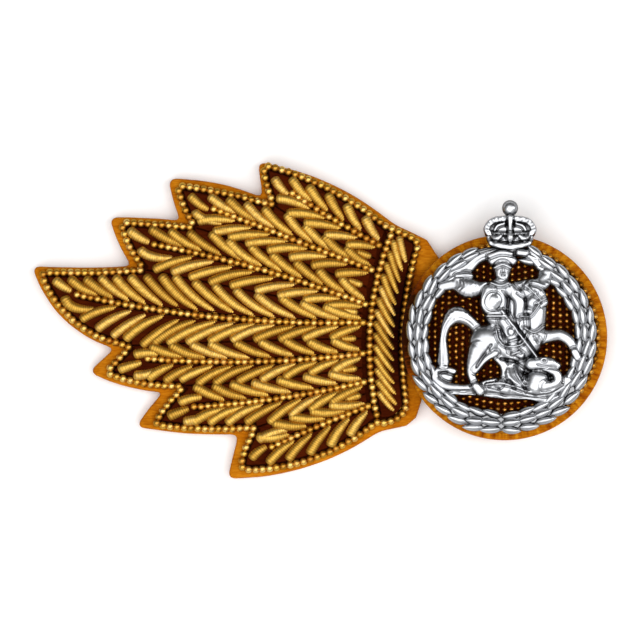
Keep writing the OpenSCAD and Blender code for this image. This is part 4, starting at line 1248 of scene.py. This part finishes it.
# %% Chains of the relief
DOME_FLAT = 2.2
DOME_ROUND = 0.62
STRAND_SWAY = 0.9
WAVE_SLANT = 3.2
CHAIN_PARTS = 4
FAR_OUT = -99.0


def smooth_rows(rows):
    """The chain again with more rows, on a smooth curve through the given ones."""
    rows = np.array(rows)
    if len(rows) < 3:
        return rows
    given = np.concatenate([[2 * rows[0] - rows[1]], rows, [2 * rows[-1] - rows[-2]]])
    out = []
    for a, b, c, d in zip(given, given[1:], given[2:], given[3:]):
        for t in np.arange(CHAIN_PARTS) / CHAIN_PARTS:
            out.append(0.5 * (2 * b + (c - a) * t + (2 * a - 5 * b + 4 * c - d) * t ** 2
                              + (3 * b - a - 3 * c + d) * t ** 3))
    return np.array([*out, rows[-1]])


def chased(kind, rate, depth, along, across):
    """Height of the fine lines, at most 0, over a figure."""
    waves = {"strands": math.pi * rate * across + STRAND_SWAY * np.sin(along),
             "ribs": 2 * math.pi * rate * along,
             "waves": 2 * math.pi * rate * along + WAVE_SLANT * across}
    return -depth * (0.5 + 0.5 * np.cos(waves[kind]))


def chain_fields(x, y, rows):
    """For each point: depth inside the chain, dome from 0 to 1, height, place along the chain,
    place across it from -1 to 1, and the chain's radius there."""
    fields = np.full((6, len(x)), FAR_OUT)
    before = 0.0
    for (ax, ay, ra, ha), (bx, by, rb, hb) in zip(rows, rows[1:]):
        vx, vy = bx - ax, by - ay
        long = math.hypot(vx, vy)
        t = np.clip(((x - ax) * vx + (y - ay) * vy) / long ** 2, 0, 1)
        dx, dy = x - ax - t * vx, y - ay - t * vy
        far = np.hypot(dx, dy)
        radius = ra + (rb - ra) * t
        dome = (1 - np.clip(far / radius, 0, 1) ** DOME_FLAT) ** DOME_ROUND
        across = (dy * vx - dx * vy) / long / radius
        found = np.stack([radius - far, dome, ha + (hb - ha) * t, before + t * long, across, radius])
        nearer = found[0] > fields[0]
        fields[:, nearer] = found[:, nearer]
        before += long
    return fields


print("the first chain has", len(smooth_rows(FIGURES["ground_strip"])), "rows on its curve")

# %% Heights of the relief
PLATE_T = 0.55
LEAST_T = PLATE_T * 0.8
OUTLINE_W = 0.24
OUTLINE_DEPTH = 0.35
OUTLINE_FROM = 0.3
OUTLINE_GAIN = 2
DOME = 0.62
GROOVE_ROUND = 0.7
CHASE_FADE = 0.25


def relief(x, y, figures, grooves):
    """How far each point is inside the metal, and its height over the emblem's back."""
    cover = np.full(len(x), FAR_OUT)
    height = np.full(len(x), PLATE_T)
    for name, given in figures.items():
        rows = smooth_rows(given)
        least = (rows[:, :2] - rows[:, 2:3]).min(0) - OUTLINE_W
        most = (rows[:, :2] + rows[:, 2:3]).max(0) + OUTLINE_W
        near = (x > least[0]) & (x < most[0]) & (y > least[1]) & (y < most[1])
        inside, dome, top, along, across, wide = chain_fields(x[near], y[near], rows)
        shown = top - np.minimum(top - PLATE_T, DOME * wide) * (1 - dome)
        if name in CHASING:
            shown = shown + chased(*CHASING[name], along, across) * np.clip(inside / CHASE_FADE, 0, 1)
        ground = height[near]
        rim = np.clip(1 + inside / OUTLINE_W, 0, 1) * (inside <= 0)
        rim = rim * np.clip((top - ground + OUTLINE_FROM) * OUTLINE_GAIN, 0, 1)
        ground = np.where((inside > 0) & (shown > ground), shown, ground - OUTLINE_DEPTH * rim)
        height[near] = np.maximum(ground, LEAST_T)
        cover[near] = np.maximum(cover[near], inside)
    for given in grooves.values():
        inside, _, depth, _, _, wide = chain_fields(x, y, smooth_rows(given))
        height = height - depth * np.clip(inside / wide, 0, 1) ** GROOVE_ROUND
    return cover, np.maximum(height, LEAST_T)


print("the plate is", PLATE_T, "mm thick, and", round(LEAST_T, 2), "mm in its cuts")

# %% [markdown]
# The heights are worked out on a fine grid and softened a little, as a die leaves them. The mesh
# starts as the same grid with the distance into the metal as its height. Cutting it at height
# zero gives the smooth edge of every opening in one step. Then each point that is left moves
# to its true height, and a flat back and walls between the two close the plate. The tone of
# the metal comes from the heights too: hollows and steep sides are dark, ridges are polished.

# %% Grids and their edge
def softened(grid, passes):
    """The grid after this many passes of a small blur."""
    for _ in range(passes):
        for axis in (0, 1):
            wide = np.pad(grid, [(1, 1), (0, 0)] if axis == 0 else [(0, 0), (1, 1)], mode="edge")
            low_side, high_side = np.split(wide, [-2], axis)[0], np.split(wide, [2], axis)[1]
            grid = (low_side + 2 * grid + high_side) / 4
    return grid


def sampled(grid, xs, ys, points):
    """Values of the grid at points between its rows and columns."""
    u = np.clip((points[:, 0] - xs[0]) / (xs[1] - xs[0]), 0, len(xs) - 1.001)
    v = np.clip((points[:, 1] - ys[0]) / (ys[1] - ys[0]), 0, len(ys) - 1.001)
    i, j = u.astype(int), v.astype(int)
    u, v = u - i, v - j
    return ((grid[j, i] * (1 - u) + grid[j, i + 1] * u) * (1 - v)
            + (grid[j + 1, i] * (1 - u) + grid[j + 1, i + 1] * u) * v)


def cut_grid(xs, ys, cover):
    """Points and faces of the part of the grid where cover is over 0, with a smooth edge."""
    gx, gy = np.meshgrid(xs, ys)
    index = (np.arange(len(ys) - 1)[:, None] * len(xs) + np.arange(len(xs) - 1)).ravel()
    quads = np.column_stack([index, index + 1, index + 1 + len(xs), index + len(xs)])
    quads = quads[cover[quads].max(1) > 0]
    used, numbers = np.unique(quads.ravel(), return_inverse=True)
    points = np.column_stack([gx.ravel(), gy.ravel(), cover])[used]
    start = bpy.data.meshes.new("start")
    start.from_pydata(points.tolist(), [], numbers.reshape(-1, 4).tolist())
    work = bmesh.new()
    work.from_mesh(start)
    bpy.data.meshes.remove(start)
    bmesh.ops.bisect_plane(work, geom=work.verts[:] + work.edges[:] + work.faces[:],
                           plane_co=(0, 0, 0), plane_no=(0, 0, 1), clear_inner=True)
    work.verts.index_update()
    places = np.array([vert.co[:2] for vert in work.verts])
    faces = [[vert.index for vert in face.verts] for face in work.faces]
    work.free()
    return places, faces


# %% From heights to a plate
GRID = 0.075
SOFT_PASSES = 2
HOLLOW_PASSES = 14
HOLLOW_GAIN = 1.3
BRIGHT_AT = 2.0
LOW_DARK = 0.09
STEEP_FROM = 0.9
STEEP_DARK = 0.3
# Where the grid of the figures starts and ends: x from, x to, y from, y to
FIGURES_BOX = (-10.9, 11.0, -9.3, 12.6)


def plate(figures, grooves, box, grid=GRID):
    """Points, faces and tones of a pierced plate with a relief. box is x0, x1, y0, y1 in mm."""
    xs, ys = np.arange(box[0], box[1], grid), np.arange(box[2], box[3], grid)
    gx, gy = np.meshgrid(xs, ys)
    cover, height = relief(gx.ravel(), gy.ravel(), figures, grooves)
    height = softened(height.reshape(gx.shape), SOFT_PASSES)
    steep = np.hypot(*np.gradient(height, grid))
    tone = (0.5 + (height - softened(height, HOLLOW_PASSES)) * HOLLOW_GAIN
            + (height - BRIGHT_AT) * LOW_DARK - np.clip(steep - STEEP_FROM, 0, 1) * STEEP_DARK)
    places, front = cut_grid(xs, ys, np.clip(cover, -grid, grid))
    n = len(places)
    back = [[i + n for i in face[::-1]] for face in front]
    edges = {(face[i - 1], face[i]) for face in front for i in range(len(face))}
    walls = [[b, a, a + n, b + n] for a, b in sorted(edges) if (b, a) not in edges]
    top = np.column_stack([places, sampled(height, xs, ys, places)])
    points = np.concatenate([top, top * (1, 1, 0)]) + (0, 0, emblem_z)
    tones = np.clip(sampled(tone, xs, ys, places), 0, 1)
    return points, front + back + walls, np.concatenate([tones, np.zeros(n)])


figures_plate = plate(FIGURES | STRAPS, GROOVES, FIGURES_BOX)
make_piece("emblem_figures", Heap(figures_plate), silver, ["emblem"])

# %% [markdown]
# The wreath is laurel: slender pointed leaves in bundles of three that overlap like tiles and
# climb from the foot on both sides. One leaf is a small curved sheet with a raised midrib, and
# the bundles are copies of it, turned round the ring. No two leaves of a die are quite alike,
# so each copy has its own small turn, size and polish.

# %% One laurel leaf
LEAF_L = 2.95
LEAF_W = 1.2
LEAF_H = 0.5
LEAF_T = 0.05
RIB_H = 0.06
RIB_W = 0.18
TIP_LIFT = 0.22
OUTLINE_POWERS = (0.85, 0.6)
ARCH_POWERS = (1.9, 0.5)
ARCH_SHARE = 0.85
EDGE_TONES = (0.15, 0.9, 2.5)
ROOT_TONES = (0.45, 0.7)


def leaf_form(long_steps=9, cross_steps=7):
    """A closed laurel leaf from its root at the origin to its tip along +X. u runs from the root
    to the tip, and v from one edge to the other."""
    u, v = np.meshgrid(np.linspace(0, 1, long_steps), np.linspace(1, -1, cross_steps), indexing="ij")
    long_power, blunt_power = OUTLINE_POWERS
    half = LEAF_W / 2 * np.clip(np.sin(math.pi * u ** long_power), 0.02, 1) ** blunt_power
    across_power, along_power = ARCH_POWERS
    arch = 1 - ARCH_SHARE * np.abs(v) ** across_power
    rise = LEAF_H * arch * np.sin(math.pi * np.clip(u, 0.04, 0.96)) ** along_power
    rib = RIB_H * np.exp(-(v / RIB_W) ** 2) * np.sin(math.pi * u)
    lift = TIP_LIFT * u
    top = np.stack([u * LEAF_L, v * half, rise + rib + lift], -1)
    under = np.stack([u * LEAF_L, v * half, lift - LEAF_T], -1)[:, ::-1]
    # The tone is painted light: shade along the edges and at the root, where the leaf before overlaps it,
    # and a highlight along the middle and towards the tip
    edge_tone, middle_gain, edge_power = EDGE_TONES
    root_tone, tip_gain = ROOT_TONES
    tone = edge_tone + middle_gain * (1 - np.abs(v) ** edge_power)
    tone = np.clip(tone * (root_tone + tip_gain * u), 0, 1)
    sides = 2 * cross_steps
    faces = ring_faces(long_steps, sides)
    for j in range(cross_steps - 1):
        quad = [j + 1, j, sides - 1 - j, sides - 2 - j]
        faces += [quad, [i + (long_steps - 1) * sides for i in quad[::-1]]]
    return (np.concatenate([top, under], 1).reshape(-1, 3), faces,
            np.concatenate([tone, np.zeros_like(tone)], 1).ravel())


leaf_points, leaf_faces, leaf_tone = leaf_form()
print("a leaf has", len(leaf_faces), "faces")

# %% Two branches of leaves
WREATH_CENTRE = np.array([-0.5, -0.2, 0])
WREATH_R = 12.75
WREATH_W = 2.5
BAND_T = 0.8
BUNDLES = 15
TOP_GAP = 16
LEAF_FAN = 8
LEAF_LEAN = 4
LEAF_SPREAD = 0.8
NARROW_BUNDLES = 3
LEAF_OUT = 0.45
LEAF_SINK = 0.1
MIDDLE_UP = 0.22
LEAF_SIZES = (0.92, 1.06)
LEAF_TURN = 4.5
LEAF_TONES = (0.72, 1.0)
middle_r = WREATH_R - WREATH_W / 2
leaf_rng = np.random.default_rng(5)


def placed(points, angle, place, z, mirror):
    """Leaf points turned, moved, and mirrored for the other branch of the wreath."""
    c, s = math.cos(math.radians(angle)), math.sin(math.radians(angle))
    x = points[:, 0] * c - points[:, 1] * s + place[0]
    y = points[:, 0] * s + points[:, 1] * c + place[1]
    return np.column_stack([-x if mirror else x, y, points[:, 2] + z]) + WREATH_CENTRE


def add_branch(heap, mirror):
    """The bundles of one branch, from the foot of the wreath to the crown."""
    faces = [face[::-1] for face in leaf_faces] if mirror else leaf_faces
    for k in range(BUNDLES):
        base = -90 + k * (180 - TOP_GAP) / BUNDLES
        narrow = max(0.0, 1 + (k + 1 - BUNDLES) / NARROW_BUNDLES)
        for fan in (-1, 1, 0):
            r = middle_r + LEAF_OUT * narrow + fan * LEAF_SPREAD * (1 - narrow / 2)
            place = on_circle(r, np.radians([base]))[0]
            z = emblem_z + BAND_T - LEAF_SINK + (MIDDLE_UP if fan == 0 else 0)
            leaf = leaf_points * (leaf_rng.uniform(*LEAF_SIZES), leaf_rng.uniform(*LEAF_SIZES), 1)
            turn = base + 90 + LEAF_LEAN - fan * LEAF_FAN + leaf_rng.normal(0, LEAF_TURN)
            heap.add(placed(leaf, turn, place, z, mirror), faces,
                     leaf_tone * leaf_rng.uniform(*LEAF_TONES))


wreath_heap = Heap()
add_branch(wreath_heap, mirror=False)
add_branch(wreath_heap, mirror=True)
print("leaves:", wreath_heap.count // len(leaf_points))

# %% The band under the leaves
BAND_TONE = 0.12
# The band is wider near the crown. Values: most widening, its place in degrees, its reach
TOP_OUT, TOP_ANGLE, TOP_REACH = 1.3, 80, 34
inner_r = WREATH_R - WREATH_W


def turned_ring(profile, steps=180):
    """A closed ring turned round the wreath's centre. Columns of profile: radius, height, from the
    inner edge over the top to the outer edge."""
    points = []
    for a in np.arange(steps) * 2 * math.pi / steps:
        out = TOP_OUT * max(0.0, 1 - abs(math.degrees(a) - TOP_ANGLE) / TOP_REACH)
        for r, z in profile:
            r += out * (WREATH_R - r) / WREATH_W
            points.append((r * math.cos(a), r * math.sin(a), emblem_z + z))
    return np.array(points) + WREATH_CENTRE, ring_faces(steps, len(profile), closed=True)


band_profile = [(inner_r + 0.05, 0.0), (inner_r + 0.1, 0.55), (inner_r + 0.45, BAND_T),
                (middle_r, BAND_T - 0.25), (WREATH_R - 0.55, BAND_T), (WREATH_R - 0.2, 0.55),
                (WREATH_R - 0.15, 0.0)]
wreath_heap.add(*turned_ring(band_profile), BAND_TONE)
make_piece("emblem_wreath", wreath_heap, silver, ["emblem"])

# %% [markdown]
# The crown is a relief like the figures: a band between two rims with three small flowers, a
# cap, and two ribbed arches that meet under a ball. The right side mirrors the left. The ball
# and the four pearls on the band are round, so they are added as balls.

# %% Tables of the crown
def mirrored(rows):
    """The same chain on the other side of the crown."""
    return [(-x, *rest) for x, *rest in rows]


# Columns as in the tables of the figures, with x from the crown's middle line
flower = [(-2.5, 13.9, 0.28, 2.0), (-1.9, 13.55, 0.42, 2.3), (-1.3, 13.9, 0.28, 2.2)]
arch = [(-2.95, 14.3, 0.42, 2.0), (-3.2, 14.9, 0.42, 2.0), (-2.3, 16.0, 0.42, 2.2),
        (0.0, 16.35, 0.42, 2.4)]
inner_arch = [(-2.1, 14.7, 0.22, 1.7), (-1.7, 15.3, 0.24, 1.8), (-0.8, 15.6, 0.22, 1.9)]
under_arch = [(-0.5, 16.0, 0.16, 0.3), (-0.6, 15.2, 0.16, 0.2)]
CROWN = {
    "cap": [(-2.25, 14.6, 1.3, 1.4), (0.0, 14.9, 1.6, 1.6), (2.25, 14.6, 1.3, 1.4)],
    "band": [(-2.45, 13.5, 0.75, 1.5), (-1.2, 13.3, 0.8, 1.7), (0.0, 13.2, 0.85, 1.8),
             (1.2, 13.3, 0.8, 1.7), (2.45, 13.5, 0.75, 1.5)],
    "rim_low": [(-2.55, 12.95, 0.42, 1.9), (-1.3, 12.58, 0.46, 2.2), (0.0, 12.45, 0.48, 2.3),
                (1.3, 12.58, 0.46, 2.2), (2.55, 12.95, 0.42, 1.9)],
    "rim_high": [(-3.0, 14.3, 0.2, 1.6), (-1.5, 14.2, 0.2, 1.9), (0.0, 14.15, 0.2, 2.0),
                 (1.5, 14.2, 0.2, 1.9), (3.0, 14.3, 0.2, 1.6)],
    "flower_left": flower,
    "flower_middle": [(0.0, 13.15, 0.30, 2.4), (0.0, 13.7, 0.46, 2.7), (0.0, 14.4, 0.30, 2.5)],
    "flower_right": mirrored(flower),
    "arch_left": arch,
    "arch_right": mirrored(arch),
    "inner_left": inner_arch,
    "inner_right": mirrored(inner_arch),
    "arch_middle": [(0.0, 14.6, 0.30, 2.2), (0.0, 15.5, 0.34, 2.5), (0.0, 16.4, 0.44, 2.5)],
    "stem": [(0.0, 16.4, 0.7, 1.8), (0.0, 17.1, 0.5, 1.6)],
}
CROWN_GROOVES = {
    "over_rim": [(-2.5, 13.35, 0.16, 0.3), (0.0, 12.95, 0.16, 0.3), (2.5, 13.35, 0.16, 0.3)],
    "under_arch_left": under_arch,
    "under_arch_right": mirrored(under_arch),
}
print("chains:", len(CROWN), "grooves:", len(CROWN_GROOVES))

# %% The crown
CROWN_X = 0.7
CROWN_GRID = 0.05
CROWN_BOX = (-3.4, 4.9, 11.6, 17.9)
BALL_R = 1.1
BALL_Y = 17.7
BALL_SHADE = (0.6, 0.85)
BALL_TONES = (0.08, 0.9)
PEARL_R = 0.22
# Columns: x from the crown's middle line, y, height
PEARLS = [(-0.95, 13.6, 1.91), (0.95, 13.6, 1.91), (-2.95, 13.75, 1.51), (2.95, 13.75, 1.51)]


def shifted(table, shift):
    """A table of chains moved along X."""
    return {name: [(x + shift, *rest) for x, *rest in rows] for name, rows in table.items()}


crown_plate = plate(shifted(CROWN, CROWN_X), shifted(CROWN_GROOVES, CROWN_X), CROWN_BOX, CROWN_GRID)
make_piece("emblem_crown", Heap(crown_plate), silver, ["emblem"])
heap = Heap()
for x, y, z in PEARLS:
    add_bead(heap, (x + CROWN_X, y, emblem_z + z), (1, 0), PEARL_R, SMALL_BALL, flat=1.0)
ball_points, ball_faces = ball(24, 16)
# Painted light on the ball: a highlight on its top and shade on the rest
ball_tone = np.interp(ball_points[:, 2], BALL_SHADE, BALL_TONES)
heap.add(ball_points * BALL_R + (CROWN_X, BALL_Y, emblem_z + BALL_R), ball_faces, ball_tone)
make_piece("emblem_pearls", heap, silver, ["emblem"])

# %% [markdown]
# Two posts on the back of the emblem go down through the patch and hold it. Only their ends
# show, on the back of the badge.

# %% The posts
POST_R = 0.6
POST_BEVEL = 0.08
POST_SIDES = 24
POST_IN = 0.4
POST_TONE = 0.6
POSTS = [(-0.5, 11.1), (-0.5, -11.1)]
post_profile = [(POST_BEVEL, 0.0), (0, POST_BEVEL), (0, emblem_z + POST_IN)]
post_outline = on_circle(POST_R, np.arange(POST_SIDES) * 2 * math.pi / POST_SIDES)
post_forms = [(*slab(post_outline + place, post_profile), POST_TONE) for place in POSTS]
make_piece("emblem_posts", Heap(*post_forms), silver, ["emblem"], smooth=False)

# %% [markdown]
# The badge lies on a plain pale table and is seen straight from above. Metal shows what is
# round it more than its own colour, so the light is large and soft: one wide softbox nearly
# overhead and a little in front, and a small fill on the right. The world is pale overhead and
# dark towards the back and the horizon, and that gives the dark accents in the silver.

# %% The floor
# Half its width and its height, in metres
FLOOR_HALF = 3.0
FLOOR_Z = -0.00005
PAPER_PER_MM = 0.4
corners = [(x * FLOOR_HALF, y * FLOOR_HALF, FLOOR_Z) for x, y in ((-1, -1), (1, -1), (1, 1), (-1, 1))]
floor_mesh = bpy.data.meshes.new("floor")
floor_mesh.from_pydata(corners, [], [(0, 1, 2, 3)])
floor = bpy.data.objects.new("floor", floor_mesh)
bpy.context.scene.collection.objects.link(floor)
table_paint, tree, shader = new_material("pale_table")
paper = ramp(tree, noise(tree, object_place(tree), PAPER_PER_MM / MM),
             [(0.3, 0.93, 0.93, 0.93), (0.7, 0.95, 0.95, 0.95)])
feed(tree, shader, {"Base Color": paper, "Roughness": 0.9, "Specular IOR Level": 0.2})
floor_mesh.materials.append(table_paint)
print("floor:", 2 * FLOOR_HALF, "m wide")

# %% The lights
AIM = Vector((-25.3 * MM, 2.4 * MM, 0.0))
# Columns: name, place and size in metres, watts
SOFTBOXES = [
    ("key", (-0.10, -0.15, 0.76), (1.10, 1.10), 6.2),
    ("fill", (0.42, 0.05, 0.45), (0.25, 0.50), 1.1),
]
for name, place, size, watts in SOFTBOXES:
    light = bpy.data.lights.new(name, "AREA")
    light.shape = "RECTANGLE"
    light.size, light.size_y = size
    light.energy = watts
    holder = bpy.data.objects.new(name, light)
    holder.location = place
    holder.rotation_euler = (AIM - Vector(place)).to_track_quat("-Z", "Y").to_euler()
    bpy.context.scene.collection.objects.link(holder)
print("lights:", [row[0] for row in SOFTBOXES])

# %% The world
SKY_LEAN = (0.0, -0.45, 1.0)
SKY_SHADES = [(0.05, 0.08), (0.45, 0.32), (0.75, 0.74), (1.0, 0.68)]
world = bpy.data.worlds.new("studio")
world.use_nodes = True
sky = world.node_tree
looking = add_node(sky, "TexCoord", {}).outputs["Generated"]
height_seen = add_node(sky, "VectorMath", {0: looking, 1: SKY_LEAN}, operation="DOT_PRODUCT")
shade = ramp(sky, height_seen.outputs["Value"], [(p, v, v, v) for p, v in SKY_SHADES])
feed(sky, sky.nodes["Background"], {"Color": shade, "Strength": 1.0})
bpy.context.scene.world = world
bpy.context.scene.view_settings.view_transform = "Standard"
print("world:", len(SKY_SHADES), "shades from the horizon to overhead")

# %% The camera
SENSOR = 36.0
# Width of the view on the table, in metres
FIELD = 0.0881119
CAMERA_HIGH = 1.0
camera_data = bpy.data.cameras.new("camera")
camera_data.sensor_width = SENSOR
camera_data.lens = SENSOR * CAMERA_HIGH / FIELD
camera_data.clip_start = 0.01
camera = bpy.data.objects.new("camera", camera_data)
camera.location = (AIM.x, AIM.y, CAMERA_HIGH)
bpy.context.scene.collection.objects.link(camera)
bpy.context.scene.camera = camera
print("camera: lens", round(camera_data.lens, 1), "mm")

# %% [markdown]
# The last cell prints the number of triangles in all. The dressed badge has to stay inside the
# box of the solids, apart from cloth.

# %% Triangles in all
print("triangles in all:", sum(triangle_counts.values()))
